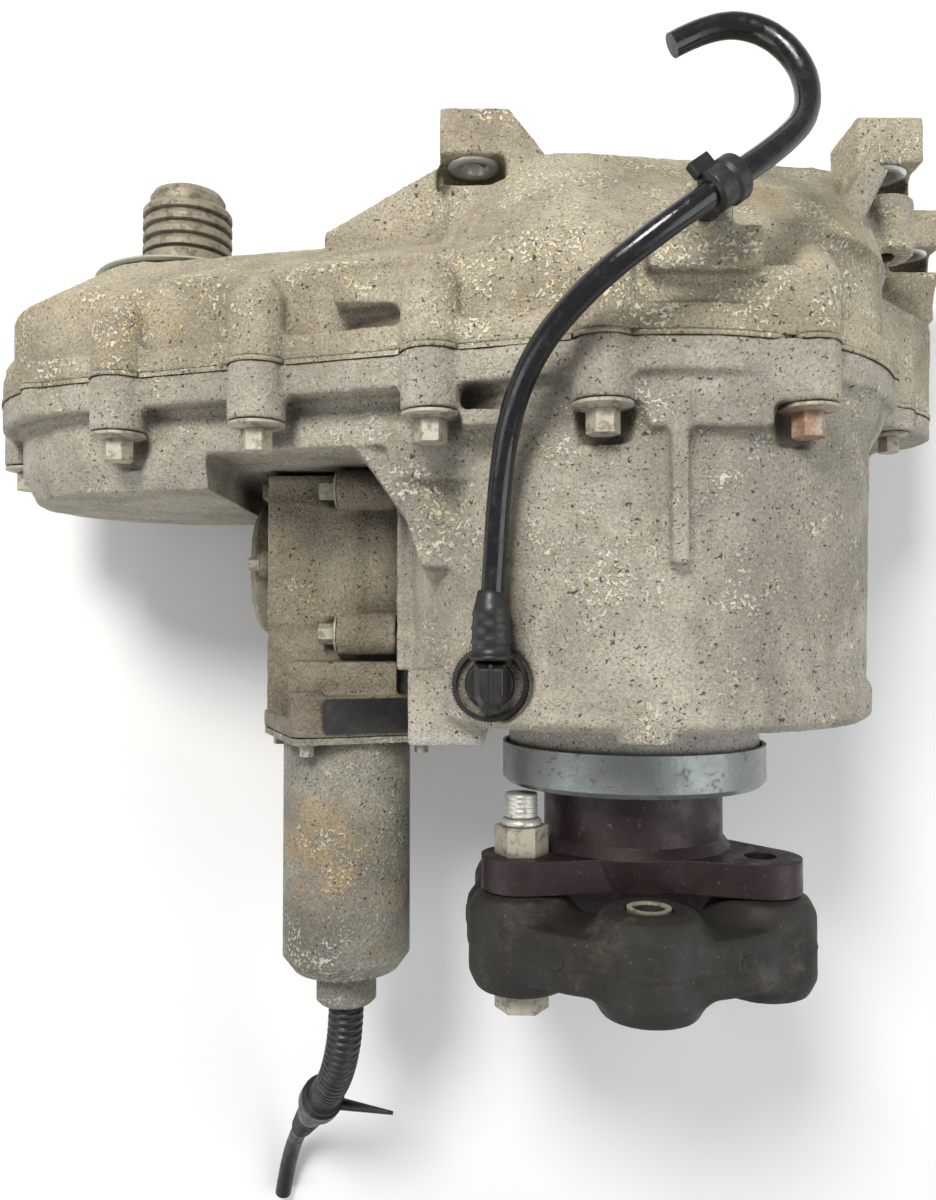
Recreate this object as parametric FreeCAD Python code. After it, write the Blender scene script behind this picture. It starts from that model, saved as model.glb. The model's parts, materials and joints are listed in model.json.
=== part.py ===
import FreeCAD, Part
import math
import os

# A chain-driven on-demand transfer case, lying on its underside.
# Millimetres. The main shaft runs along Y, the gearbox is towards +Y and the rear output towards -Y.
# The origin is the mouth of the pilot bore in the front case's face, on the main shaft's axis.

V = FreeCAD.Vector
X_AXIS, Y_AXIS, Z_AXIS = V(1, 0, 0), V(0, 1, 0), V(0, 0, 1)

# Driving sizes of the casing
MAIN_R = 97.0                 # outer radius of the case round the main shaft
ARM_X, ARM_Z = -193.9, -34.0  # front output axis
ARM_R = 71.0                  # outer radius of the chain arm's end
CASE_WALL = 8.0
FLANGE_LIP = 4.0              # the joint flange stands this far out of the walls
FRONT_DEPTH = 80.0            # pilot face to the parting plane
FRONT_FLANGE = 10.0
REAR_FLANGE = 12.0
BOLT_BOSS_REAR = 21.0         # parting plane to the washers
BOLT_BOSS_FRONT = 23.0
BOLT_BOSS_R = 10.5
ARM_REAR_DEPTH = 41.0         # parting plane to the arm's rear wall
ARM_REAR_SHRINK = 4.0
BARREL_R = MAIN_R - 5.0
BARREL_LENGTH = 114.0         # parting plane to the rim band
BAND_WIDTH = 14.0
NECK_R = 50.5
NECK_LENGTH = 15.0
SHOULDER_DEPTH = 42.0         # pilot face to the full outline of the bell
ARM_FACE_DEPTH = 22.0         # pilot face to the flat in front of the arm
SUMP_HALF_WIDTH = 50.0
EAR_STAND = 20.0              # gearbox faces of the ears, ahead of the pilot face
EAR_THICK = 18.0
EAR_R = 13.0
EAR_HOLE_R = 5.25
SPOT_R = 11.5
SPOT_BACK = -9.0              # the spot faces are cut from here
SPOT_OPENING = 32.0
PILOT_R, PILOT_DEPTH = 36.0, 8.0

# Driving sizes of the shafts and the clutch
SHAFT_R = 20.0
INPUT_BORE_R = 14.0
INPUT_SPLINES = 12
BEARING_R, BEARING_WIDTH = 40.0, 16.0
SEAL_WIDTH = 8.0
OUTPUT_SHAFT_R = 15.0
STUB_R = 19.5
STUB_LENGTH = 45.0
STUB_GROOVES = 4
STUB_GROOVE_PITCH = 5.6
TEETH = 27
CHAIN_PITCH = 12.7
CHAIN_DEPTH = 72.0            # pilot face to the middle of the chain
CHAIN_WIDTH = 25.0
PLATE_PAIRS = 5
STEEL_THICK, LINED_THICK = 2.0, 2.4
PLATE_GAP = 0.1
PRESS_TRAVEL = 1.0            # of the pressure plate
PRESS_TRAVEL_GAP = PRESS_TRAVEL + 0.2
FLANGE_PCD_R = 52.5
FLANGE_PLATE = 12.7
FLANGE_TURN = -63.0           # the first arm's angle from +Z towards +X
DISC_THICK = 36.0
FLEX_BOLT_R = 6.0

# Clearances
FIT = 0.05                    # a running fit, on the radius
NEAR = 0.3                    # between pieces that never touch
LOOSE = 0.5                   # round a bolt

# Stations along the main shaft, from the sizes above
PARTING = -FRONT_DEPTH
WASHER_Y = PARTING - BOLT_BOSS_REAR
BAND_Y = PARTING - BARREL_LENGTH
BARREL_END = BAND_Y - BAND_WIDTH
NECK_END = BARREL_END - NECK_LENGTH
ARM_REAR = PARTING - ARM_REAR_DEPTH
PITCH_R = CHAIN_PITCH / (2 * math.sin(math.pi / TEETH))
CHAIN_FRONT = -CHAIN_DEPTH + CHAIN_WIDTH / 2
CHAIN_REAR = -CHAIN_DEPTH - CHAIN_WIDTH / 2


# Places round the casing
def off_axis(x, z, radius, degrees):
    """A place at a radius from (x, z), at an angle from +X towards +Z."""
    turn = math.radians(degrees)
    return x + radius * math.cos(turn), z + radius * math.sin(turn)


def beside(part, side, out):
    """A place beside the straight edge between main case and arm: side is 1 above and -1 below."""
    gap = math.hypot(ARM_X, ARM_Z)
    lean = math.asin((MAIN_R - ARM_R) / gap)
    turn = math.atan2(ARM_Z, ARM_X) - side * (math.pi / 2 - lean)
    radius = MAIN_R + (ARM_R - MAIN_R) * part + out
    return part * ARM_X + radius * math.cos(turn), part * ARM_Z + radius * math.sin(turn)


# Bolts through the joint flange and the ears: their axes (x, z)
CASE_BOLTS = [off_axis(ARM_X, ARM_Z, ARM_R + 1.2, 183.2), off_axis(ARM_X, ARM_Z, ARM_R + 4.0, 93.1),
              beside(0.60, 1, 4.0), beside(0.27, 1, 1.5),
              off_axis(0, 0, MAIN_R - 1.0, 104.5), off_axis(0, 0, MAIN_R + 0.5, 63.2)]
LOW_BOLTS = [off_axis(0, 0, MAIN_R + 7.8, -23.6), off_axis(0, 0, MAIN_R + 0.5, -63.2),
             off_axis(0, 0, MAIN_R - 1.0, -104.5), beside(0.45, -1, 0.5), beside(0.75, -1, 1.1),
             off_axis(ARM_X, ARM_Z, ARM_R + 1.2, 265.2), off_axis(ARM_X, ARM_Z, ARM_R + 4.0, 221.7)]
LOBE_X = MAIN_R + 15.0        # axis of the mounting lobe on the right
LOBE_BOLTS = [(LOBE_X + 1.0, -14.0), (LOBE_X + 6.0, -66.0)]
FLOOR_Z = math.floor(2 * (min(z for x, z in LOW_BOLTS) - BOLT_BOSS_R)) / 2
EARS = [(-65, 35), (92, 28), (138, -55), (76, -84), (-22, -88), (-86, -40)]
UPPER_EARS = EARS[:3]         # their spot faces are open upwards


def upright(shape):
    """The same solid with its faces turned outwards."""
    if shape.Volume < 0:
        shape.reverse()
    return shape


def rod(radius, y_low, y_high, x=0.0, z=0.0):
    return Part.makeCylinder(radius, y_high - y_low, V(x, y_low, z), Y_AXIS)


def ring(r_out, r_in, y_low, y_high, x=0.0, z=0.0):
    return rod(r_out, y_low, y_high, x, z).cut(rod(r_in, y_low - 1, y_high + 1, x, z))


def cross_rod(radius, x_low, x_high, y, z):
    return Part.makeCylinder(radius, x_high - x_low, V(x_low, y, z), X_AXIS)


def post(radius, x, y, z_low, z_high):
    return Part.makeCylinder(radius, z_high - z_low, V(x, y, z_low), Z_AXIS)


def block(x_low, x_high, y_low, y_high, z_low, z_high):
    return Part.makeBox(x_high - x_low, y_high - y_low, z_high - z_low, V(x_low, y_low, z_low))


def turned(profile, x=0.0, z=0.0):
    """A solid of revolution about the line along Y through (x, z); the profile is (radius, y)."""
    corners = [V(x + r, y, z) for r, y in profile]
    face = Part.Face(Part.makePolygon(corners + corners[:1]))
    return upright(face.revolve(V(x, 0, z), Y_AXIS, 360))


def plate(points, thickness, place):
    """A flat plate: place(u, v, height) gives its corners at both faces."""
    low = [place(u, v, thickness[0]) for u, v in points]
    face = Part.Face(Part.makePolygon(low + low[:1]))
    sweep = place(0, 0, thickness[1]) - place(0, 0, thickness[0])
    return upright(face.extrude(sweep))


def plate_y(points, y_low, y_high):
    return plate(points, (y_low, y_high), lambda u, v, h: V(u, h, v))


def plate_z(points, z_low, z_high):
    return plate(points, (z_low, z_high), lambda u, v, h: V(u, v, h))


def plate_x(points, x_low, x_high):
    return plate(points, (x_low, x_high), lambda u, v, h: V(h, u, v))


def hull_wire(circles, y):
    """The tight outline round circles (x, z, r), given anticlockwise with X right and Z up."""
    normals = []
    for (x0, z0, r0), (x1, z1, r1) in zip(circles, circles[1:] + circles[:1]):
        dx, dz = x1 - x0, z1 - z0
        gap = math.hypot(dx, dz)
        lean = (r0 - r1) / gap
        side = math.sqrt(1 - lean * lean)
        normals.append(math.atan2(dz * lean - dx * side, dx * lean + dz * side))
    edges = []
    for i, (x, z, r) in enumerate(circles):
        start, end = normals[i - 1], normals[i]
        while end < start:
            end += 2 * math.pi
        turn = [V(x + r * math.cos(a), y, z + r * math.sin(a)) for a in (start, (start + end) / 2, end)]
        edges.append(Part.Arc(*turn).toShape())
        x1, z1, r1 = circles[(i + 1) % len(circles)]
        edges.append(Part.makeLine(turn[2], V(x1 + r1 * math.cos(end), y, z1 + r1 * math.sin(end))))
    return Part.Wire(edges)


def hull_prism(circles, y_low, y_high):
    return upright(Part.Face(hull_wire(circles, y_low)).extrude(V(0, y_high - y_low, 0)))


def hull_taper(circles_low, y_low, circles_high, y_high):
    loft = Part.makeLoft([hull_wire(circles_low, y_low), hull_wire(circles_high, y_high)], True, True)
    return upright(loft)


def fused(pieces):
    return pieces[0].multiFuse(pieces[1:]).removeSplitter()


def around(piece, count, axis_x=0.0, axis_z=0.0, first=0.0):
    """Copies of a piece, evenly spaced about a line along Y."""
    copies = []
    for i in range(count):
        copy = piece.copy()
        copy.rotate(V(axis_x, 0, axis_z), Y_AXIS, first + i * 360.0 / count)
        copies.append(copy)
    return copies


def write(node, shape):
    """One sub-part to its STEP file; a list becomes a group of separate solids."""
    if isinstance(shape, list):
        shape = Part.makeCompound(shape)
    shape.exportStep("parts/%s.step" % node)
    facts = (node, len(shape.Solids), shape.Volume, shape.isValid())
    print("%-22s solids %3d  volume %9.0f  valid %s" % facts)


def outline(grow):
    return [(0.0, 0.0, MAIN_R + grow), (ARM_X, ARM_Z, ARM_R + grow)]


# The front case: bell, ears, chain arm and joint flange
ARM_WALL_R = ARM_R - CASE_WALL + 1
ARM_INNER_FRONT = -ARM_FACE_DEPTH - 14.0
CAVITY_R = MAIN_R - CASE_WALL
BELL_STEP_R = 70.0
SEAL_R = 31.0
SEAL_END = -PILOT_DEPTH - SEAL_WIDTH
BEARING_FRONT = SEAL_END - 2.0
BEARING_BACK = BEARING_FRONT - BEARING_WIDTH
STUB_SEAL_R = 27.0
ARM_BEARING_R, ARM_BEARING_WIDTH = 31.0, 16.0
ARM_BEARING_FRONT = -ARM_FACE_DEPTH - 10.0
ARM_BEARING_BACK = ARM_BEARING_FRONT - ARM_BEARING_WIDTH
LOBE = [(LOBE_X, -40.0, 28.0), (66.0, -20.0, 46.0), (66.0, -52.0, 46.0)]
LOBE_FRONT = -38.0
CLIP_X, CLIP_Y, CLIP_SEAT_Z = 6.2, -43.0, MAIN_R + 10.0
CLIP_BOSS_R = 9.0
CLIP_PAD = (-11.0, 25.0, -61.0, -47.0)       # x and y limits of the cast pad beside the hose clip
ARM_PAD = (-113.0, -85.0, -64.0, -52.0)      # and of the pad on the arm
PAD_ROOT_Z = 80.0


def bolt_bosses(places, y_low, y_high):
    return [rod(BOLT_BOSS_R, y_low, y_high, x, z) for x, z in places]


def front_case():
    rim = [(58.0, 10.0, 32.0), (-30.0, 22.0, 32.0), (-36.0, -40.0, 28.0), (50.0, -44.0, 28.0)]
    arm_rim = [(0, 0, 45.0), (ARM_X, ARM_Z, 38.0)]
    spread = 15.0
    full = [(u, w, MAIN_R - 3 - spread) for u, w in
            ((spread, spread), (-spread, spread), (-spread, -spread), (spread, -spread))]
    bell = hull_taper(full, -SHOULDER_DEPTH, rim, 0.0)
    arm_front = hull_taper(outline(0), -SHOULDER_DEPTH - 3, arm_rim, -ARM_FACE_DEPTH)
    walls = hull_prism(outline(0), PARTING, -SHOULDER_DEPTH - 3)
    crown = rod(MAIN_R, -SHOULDER_DEPTH - 3, -SHOULDER_DEPTH)
    flange = hull_prism(outline(FLANGE_LIP), PARTING, PARTING + FRONT_FLANGE)
    lobe = hull_prism(LOBE, PARTING, LOBE_FRONT)
    stub_boss = rod(40.0, -SHOULDER_DEPTH, -ARM_FACE_DEPTH, ARM_X, ARM_Z)
    sump = block(-SUMP_HALF_WIDTH, SUMP_HALF_WIDTH, PARTING, -SHOULDER_DEPTH, FLOOR_Z, -MAIN_R + 20)
    bosses = bolt_bosses(CASE_BOLTS + LOW_BOLTS + LOBE_BOLTS, PARTING, PARTING + BOLT_BOSS_FRONT)
    bosses += [rod(DOWEL_R + 4, PARTING, PARTING + FRONT_FLANGE, x, z) for x, z in DOWELS]
    tips = [turned([(0, 0), (BOLT_BOSS_R, 0), (4.0, 9.0), (0, 9.0)], x, z) for x, z in CASE_BOLTS]
    for tip in tips:
        tip.translate(V(0, PARTING + BOLT_BOSS_FRONT, 0))
    ears = [rod(EAR_R, -SHOULDER_DEPTH + 12, EAR_STAND, x, z) for x, z in EARS]
    ears += ear_webs()
    pads = [block(*CLIP_PAD, PAD_ROOT_Z, MAIN_R + 8),
            block(*ARM_PAD, ARM_R - 16, ARM_R + 9),
            post(CLIP_BOSS_R, CLIP_X, CLIP_Y, PAD_ROOT_Z, CLIP_SEAT_Z)]
    shell = [bell, arm_front, walls, crown, flange, lobe, stub_boss, sump]
    return fused(shell + bosses + tips + ears + pads).cut(front_case_cuts())


def ear_webs():
    """Webs that tie the ears to the bell, the chain arm and the right-hand lobe."""
    reach = EAR_STAND - EAR_THICK
    a_web = plate_z([(-52, reach), (-78, reach), (-122, -24), (-122, -45), (-50, -45)], 4, 40)
    a_head = plate_z([(-78, reach), (-78, EAR_STAND), (-52, EAR_STAND), (-38, reach), (-38, -10),
                      (-78, -10)], 22, 48)
    b_web = plate_z([(56, PARTING), (64, PARTING), (64, -48), (82, -12), (92, reach), (79, reach),
                     (56, -40)], 10, 60)
    b_head = plate_z([(79, -12), (79, EAR_STAND), (105, EAR_STAND), (105, -2)], 12, 41)
    c_head = plate_z([(125, -46), (125, EAR_STAND), (151, EAR_STAND), (151, -2), (140, -60)], -68, -42)
    c_web = plate_z([(96, -50), (125, -20), (140, -40), (138, PARTING), (96, PARTING)], -62, -30)
    d_web = plate_x([(-40, -40), (reach, -74), (reach, -94), (-40, -94)], 70, 82)
    f_web = plate_z([(-96, reach), (-96, -40), (-50, -40), (-50, 0)], -50, -30)
    return [a_web, a_head, b_web, b_head, c_head, c_web, d_web, f_web]


def front_case_cuts():
    reach = EAR_STAND - EAR_THICK
    chain_room = hull_prism([(0, 0, CAVITY_R), (ARM_X, ARM_Z, ARM_WALL_R)], PARTING - 1, -SHOULDER_DEPTH - 6)
    cuts = [chain_room,
            rod(BELL_STEP_R, -SHOULDER_DEPTH - 7, BEARING_BACK),
            rod(BEARING_R, BEARING_BACK - 1, BEARING_FRONT),
            rod(SHAFT_R + 4, BEARING_FRONT - 1, SEAL_END + 1),
            rod(SEAL_R, SEAL_END, -PILOT_DEPTH + 1),
            rod(PILOT_R, -PILOT_DEPTH, 1),
            rod(ARM_BEARING_R, PARTING, ARM_BEARING_FRONT, ARM_X, ARM_Z),
            rod(STUB_SEAL_R, ARM_BEARING_FRONT - 1, -ARM_FACE_DEPTH + 1, ARM_X, ARM_Z)]
    for x, z in EARS:
        cuts.append(rod(EAR_HOLE_R, -SHOULDER_DEPTH, EAR_STAND + 1, x, z))
        cuts.append(rod(SPOT_R, SPOT_BACK, reach, x, z))
    for x, z in UPPER_EARS:
        outer = x + math.copysign(EAR_R + 1, x)
        inner = x - math.copysign(SPOT_R, x)
        cuts.append(block(min(inner, outer), max(inner, outer), SPOT_BACK, reach, z, z + SPOT_OPENING))
    for x, z in CASE_BOLTS + LOW_BOLTS + LOBE_BOLTS:
        cuts.append(rod(CASE_BOLT_R + FIT, PARTING - 1, PARTING + THREAD_DEPTH, x, z))
    cuts += [rod(DOWEL_R + FIT, PARTING - 1, PARTING + DOWEL_LENGTH / 2 + NEAR, x, z) for x, z in DOWELS]
    return cuts


# The rear case: joint flange, chain arm cover, clutch barrel and bearing neck
REAR_WALL = 9.0
REAR_BEARING_FRONT = BARREL_END + 12.0
REAR_BEARING_BACK = REAR_BEARING_FRONT - BEARING_WIDTH
REAR_SEAL_R = 38.0
HUB_NOSE_R = 25.0
BARREL_BORE_R = BARREL_R - CASE_WALL
CAM_Y, CAM_Z = -146.0, -46.0
CAM_BORE_R = 22.0
PAD_X = -BARREL_R - 4.0                 # the face that the actuator housing bolts to
NOTCH_Y = -108.5              # the arm's rear wall stands back here, behind the actuator
SMALL_BEARING_R, SMALL_BEARING_WIDTH = 26.0, 15.0
SMALL_JOURNAL_R = SMALL_BEARING_R - 13.5
SMALL_BEARING_FRONT = ARM_REAR + REAR_WALL + SMALL_BEARING_WIDTH
THRUST_SEAT_R = 46.0
ELBOW_X, ELBOW_Y = -60.0, -192.0
ELBOW_SEAT_Z = BARREL_R - 21.0
ELBOW_BORE_R = 5.0
ELBOW_BOSS_R = 13.6
ACTUATOR_BOLTS = [(-117.0, 8.5), (-175.5, 8.5), (-146.0, -86.0)]   # (y, z), axes along X


def rear_case():
    flange = hull_prism(outline(FLANGE_LIP), PARTING - REAR_FLANGE, PARTING)
    notch = block(PAD_X - 69, PAD_X, ARM_REAR - 1, NOTCH_Y, FLOOR_Z - 1, 62)
    arm = hull_taper([(0, 0, 80), (ARM_X, ARM_Z, ARM_R - ARM_REAR_SHRINK - 6)], ARM_REAR,
                     [(0, 0, 84), (ARM_X, ARM_Z, ARM_R - ARM_REAR_SHRINK)], ARM_REAR + 12)
    arm_wall = hull_prism([(0, 0, 84), (ARM_X, ARM_Z, ARM_R - ARM_REAR_SHRINK)], ARM_REAR + 12, PARTING)
    arm, arm_wall = arm.cut(notch), arm_wall.cut(notch)
    barrel = turned([(0, PARTING), (MAIN_R, PARTING), (MAIN_R, WASHER_Y + 4), (BARREL_R, WASHER_Y - 4),
                     (BARREL_R - 2, BAND_Y), (BARREL_R, BAND_Y), (BARREL_R, BARREL_END + 3),
                     (BARREL_R - 4, BARREL_END), (NECK_R + 6, BARREL_END), (NECK_R, BARREL_END - 5),
                     (NECK_R, NECK_END), (0, NECK_END)])
    lobe = hull_prism(LOBE, PARTING - REAR_FLANGE + 2, PARTING)
    sump = block(-SUMP_HALF_WIDTH, SUMP_HALF_WIDTH, BAND_Y + 20, PARTING, FLOOR_Z, -BARREL_R + 20)
    bosses = bolt_bosses(CASE_BOLTS + LOW_BOLTS, WASHER_Y, PARTING)
    bosses += bolt_bosses(LOBE_BOLTS, PARTING - REAR_FLANGE + 2, PARTING)
    bosses += [rod(DOWEL_R + 4, PARTING - REAR_FLANGE, PARTING, x, z) for x, z in DOWELS]
    gusset = plate_z([(PAD_X - 26, PARTING - 8), (PAD_X + 6, -134), (PAD_X + 12, -152), (-60, -152),
                      (-60, PARTING - 8)], 22, 56)
    corner = plate_z([(PAD_X + 6.5, -188), (PAD_X + 6.5, BARREL_END - 8), (-62, BARREL_END - 8),
                      (-52, -188)], 12, 50)
    pad = block(PAD_X, -60, -190, -106, -82, 16)
    pad_ears = [cross_rod(9.0, PAD_X, -60, y, z) for y, z in ACTUATOR_BOLTS]
    rib = block(-3, 3, -153, -97, BARREL_R - 12, BARREL_R + 5.5)
    plug_boss = rod(10.0, BARREL_END - 3, BAND_Y + 4, -9, BARREL_R - 10)
    elbow_boss = post(ELBOW_BOSS_R, ELBOW_X, ELBOW_Y, 40, ELBOW_SEAT_Z)
    shell = [flange, arm, arm_wall, barrel, lobe, sump, gusset, corner, pad, rib, plug_boss, elbow_boss]
    return fused(shell + bosses + pad_ears).cut(rear_case_cuts())


def rear_case_cuts():
    arm_inner = ARM_R - ARM_REAR_SHRINK - CASE_WALL + 1
    arm_floor = ARM_REAR + REAR_WALL + SMALL_BEARING_WIDTH - 4
    thrust_y = RAMP_BACK - NEAR
    lever_low, lever_high = LEVER_FOOT_Z - 1, -14
    barrel_room = turned([(0, PARTING + 1), (BARREL_BORE_R, PARTING + 1), (BARREL_BORE_R, thrust_y - 8),
                          (BARREL_BORE_R - 14, BAND_Y + 4), (THRUST_SEAT_R, BAND_Y + 4),
                          (THRUST_SEAT_R, thrust_y), (0, thrust_y)])
    cuts = [barrel_room,
            hull_prism([(0, 0, 76), (ARM_X, ARM_Z, arm_inner)], arm_floor, PARTING + 1),
            rod(SMALL_BEARING_R, ARM_REAR + REAR_WALL, PARTING, ARM_X, ARM_Z),
            rod(SHAFT_R + 6, REAR_BEARING_FRONT - 1, thrust_y + 1),
            rod(BEARING_R, REAR_BEARING_BACK, REAR_BEARING_FRONT),
            rod(REAR_SEAL_R, NECK_END - 1, REAR_BEARING_BACK + 1),
            cross_rod(CAM_BORE_R, PAD_X - 1, -50, CAM_Y, CAM_Z),
            block(CAM_MID_X - CAM_WIDTH, CAM_MID_X, TURNING_BACK - 1, TURNING_FRONT + 1, lever_low,
                  lever_high),
            post(ELBOW_BORE_R, ELBOW_X, ELBOW_Y, 30, ELBOW_SEAT_Z + 1),
            post(ELBOW_BOSS_R + LOOSE, ELBOW_X, ELBOW_Y, ELBOW_SEAT_Z, BARREL_R)]
    cuts += [rod(CASE_BOLT_R + LOOSE, WASHER_Y - 1, PARTING + 1, x, z)
             for x, z in CASE_BOLTS + LOW_BOLTS + LOBE_BOLTS]
    cuts += [rod(WASHER_R + NEAR, WASHER_Y - 12, WASHER_Y, x, z) for x, z in CASE_BOLTS + LOW_BOLTS]
    cuts += [rod(DOWEL_R + FIT, PARTING - DOWEL_LENGTH / 2 - NEAR, PARTING + 1, x, z) for x, z in DOWELS]
    cuts += [cross_rod(4.0 + FIT, PAD_X - 1, PAD_X + 22, y, z) for y, z in ACTUATOR_BOLTS]
    cuts += [plug_hole(PLUG_R + FIT, y) for y in PLUG_YS]
    return cuts


# Fasteners of the casing
CASE_BOLT_R = 5.0
THREAD_DEPTH = 20.0
WASHER_R, WASHER_THICK = 10.0, 2.2
HEAD_TIP_R, HEAD_ROOT_R, HEAD_LENGTH = 5.6, 4.8, 10.0
DOWEL_R, DOWEL_LENGTH = 4.0, 16.0
DOWELS = [(-234.0, 23.5), (86.0, 39.0)]
PLUG_R = 9.0
PLUG_YS = (-112.0, -160.0)


def star(tip_r, root_r):
    """The outline of an external star head."""
    return [(r * math.cos(a), r * math.sin(a)) for i in range(12)
            for r, a in [((tip_r, root_r)[i % 2], i * math.pi / 6)]]


def star_bolt(radius, grip, head_scale=1.0):
    """A flanged star-head bolt with its washer face at the origin and its shank towards +Y."""
    washer = WASHER_R * head_scale
    thick = WASHER_THICK * head_scale
    points = star(HEAD_TIP_R * head_scale, HEAD_ROOT_R * head_scale)
    head = plate_y(points, -HEAD_LENGTH * head_scale, -thick / 2)
    body = turned([(0, grip), (radius - 1, grip), (radius, grip - 1), (radius, 0), (washer, 0),
                   (washer, -thick / 2), (HEAD_TIP_R * head_scale, -thick), (0, -thick)])
    return head.fuse(body).removeSplitter()


def set_at(piece, x, y, z):
    copy = piece.copy()
    copy.translate(V(x, y, z))
    return copy


def case_bolts():
    bolt = star_bolt(CASE_BOLT_R, BOLT_BOSS_REAR + THREAD_DEPTH - 2)
    return [set_at(bolt, x, WASHER_Y, z) for x, z in CASE_BOLTS + LOW_BOLTS]


def lobe_bolts():
    bolt = star_bolt(CASE_BOLT_R - 1, REAR_FLANGE + THREAD_DEPTH - 4, 0.8)
    return [set_at(bolt, x, PARTING - REAR_FLANGE + 2, z) for x, z in LOBE_BOLTS]


def dowels():
    low, high = PARTING - DOWEL_LENGTH / 2, PARTING + DOWEL_LENGTH / 2
    return [rod(DOWEL_R, low, high, x, z) for x, z in DOWELS]


def plug_hole(radius, y):
    return post(radius, 0, y, FLOOR_Z - 1, -BARREL_R + 20)


def plug():
    """A drain plug with a sunk hexagon, its seat face at the origin and its thread upwards."""
    body = post(PLUG_R, 0, 0, 0, 12)
    key = Part.Face(Part.makePolygon([V(5 * math.cos(a), 5 * math.sin(a), 0)
                                      for a in [i * math.pi / 3 for i in range(7)]])).extrude(V(0, 0, 6))
    return body.cut(key)


# The main shaft and what turns on it
SHAFT_FRONT = -PILOT_DEPTH - 1.0
BUSH_R = 22.0
HUB_SEAT_R = 24.0
FLANGE_SEAT_R = 16.0
THREAD_R = 12.0
FLANGE_FRONT = NECK_END - 12.0        # front face of the flange's hub
FLANGE_HUB_R, FLANGE_HUB_LENGTH = 36.0, 25.0
FLANGE_BACK = FLANGE_FRONT - FLANGE_HUB_LENGTH - FLANGE_PLATE
NUT_SINK = 10.0
BASKET_GAP = 1.5
BASKET_R, BASKET_WALL, BASKET_FLOOR = 62.0, 4.0, 4.0
BASKET_FRONT = CHAIN_REAR - BASKET_GAP
PACK_FRONT = BASKET_FRONT - BASKET_FLOOR - 2.0
PACK_BACK = PACK_FRONT - PLATE_PAIRS * (STEEL_THICK + LINED_THICK + 2 * PLATE_GAP)
HUB_R, HUB_BACK = 38.0, PACK_BACK
LUGS, LUG_WIDTH, LUG_DEPTH = 8, 8.0, 3.5
PRESS_FRONT = PACK_BACK - PRESS_TRAVEL_GAP
PRESS_THICK = 6.0
NEEDLE_THICK = 4.0
RAMP_THICK, RAMP_R, RAMP_BORE_R = 9.0, 56.0, 30.0
BALL_R, BALL_CIRCLE_R, BALLS = 4.0, 44.0, 5
RAMP_GAP = 2.0
SLIDING_FRONT = PRESS_FRONT - PRESS_THICK - NEEDLE_THICK
TURNING_FRONT = SLIDING_FRONT - RAMP_THICK - RAMP_GAP
TURNING_BACK = TURNING_FRONT - RAMP_THICK - 1.0
RAMP_BACK = TURNING_BACK - NEEDLE_THICK
PUMP_FRONT = BEARING_BACK
PUMP_THICK, PUMP_COVER = 18.0, 5.0
PUMP_R = 58.0
ROTOR_THICK = 10.0
ROTOR_TEETH, ROTOR_OFFSET, ROTOR_LOBE_R, ROTOR_CENTRE_R = 7, 2.2, 5.5, 30.0
ROTOR_R = 36.0
ROTOR_CLEARANCE = 0.15
ROTOR_POINTS = 20                     # along each tooth of the inner rotor's outline


def main_shaft():
    stub = turned([(INPUT_BORE_R, SHAFT_FRONT), (SHAFT_R, SHAFT_FRONT), (SHAFT_R, CHAIN_FRONT + 3),
                   (BUSH_R, CHAIN_FRONT + 3), (BUSH_R, BASKET_FRONT - BASKET_FLOOR - 1),
                   (HUB_SEAT_R, BASKET_FRONT - BASKET_FLOOR - 1), (HUB_SEAT_R, HUB_BACK),
                   (SHAFT_R + 3, HUB_BACK), (SHAFT_R + 3, REAR_BEARING_FRONT), (SHAFT_R, REAR_BEARING_FRONT),
                   (SHAFT_R, REAR_BEARING_BACK - 1), (FLANGE_SEAT_R, REAR_BEARING_BACK - 1),
                   (FLANGE_SEAT_R, FLANGE_BACK + NUT_SINK), (THREAD_R, FLANGE_BACK + NUT_SINK),
                   (THREAD_R, FLANGE_BACK - 3), (0, FLANGE_BACK - 3), (0, SHAFT_FRONT - 45),
                   (INPUT_BORE_R, SHAFT_FRONT - 38)])
    spline = block(-1.2, 1.2, SHAFT_FRONT - 34, SHAFT_FRONT - 3, INPUT_BORE_R - 1.4, INPUT_BORE_R + 1)
    return fused([stub] + around(spline, INPUT_SPLINES))


def clutch_hub():
    front = BASKET_FRONT - BASKET_FLOOR - 1.5
    hub = ring(HUB_R, HUB_SEAT_R + FIT, HUB_BACK, front)
    spring_room = ring(HUB_R - 4, HUB_SEAT_R + 3, HUB_BACK - 1, HUB_BACK + 5)
    half = LUG_WIDTH / 2 + NEAR
    groove = block(-half, half, HUB_BACK - 1, front + 1, HUB_R - LUG_DEPTH, HUB_R + 1)
    return hub.cut([spring_room] + around(groove, LUGS))


def plate_stack(steel):
    """Every second plate of the pack: steel plates key to the basket, lined plates to the hub."""
    plates = []
    half = LUG_WIDTH / 2
    step = STEEL_THICK + LINED_THICK + 2 * PLATE_GAP
    for i in range(PLATE_PAIRS):
        top = PACK_FRONT - i * step - (0 if steel else STEEL_THICK + PLATE_GAP)
        if steel:
            disc = ring(BASKET_R - BASKET_WALL - 0.6, HUB_R + 4, top - STEEL_THICK, top)
            lug = block(-half, half, top - STEEL_THICK, top, BASKET_R - BASKET_WALL - 3, BASKET_R - 0.5)
        else:
            disc = ring(BASKET_R - BASKET_WALL - 2, HUB_R + 0.6, top - LINED_THICK, top)
            lug = block(-half, half, top - LINED_THICK, top, HUB_R - LUG_DEPTH + 0.5, HUB_R + 3)
        plates.append(fused([disc] + around(lug, LUGS)))
    return plates


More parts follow.
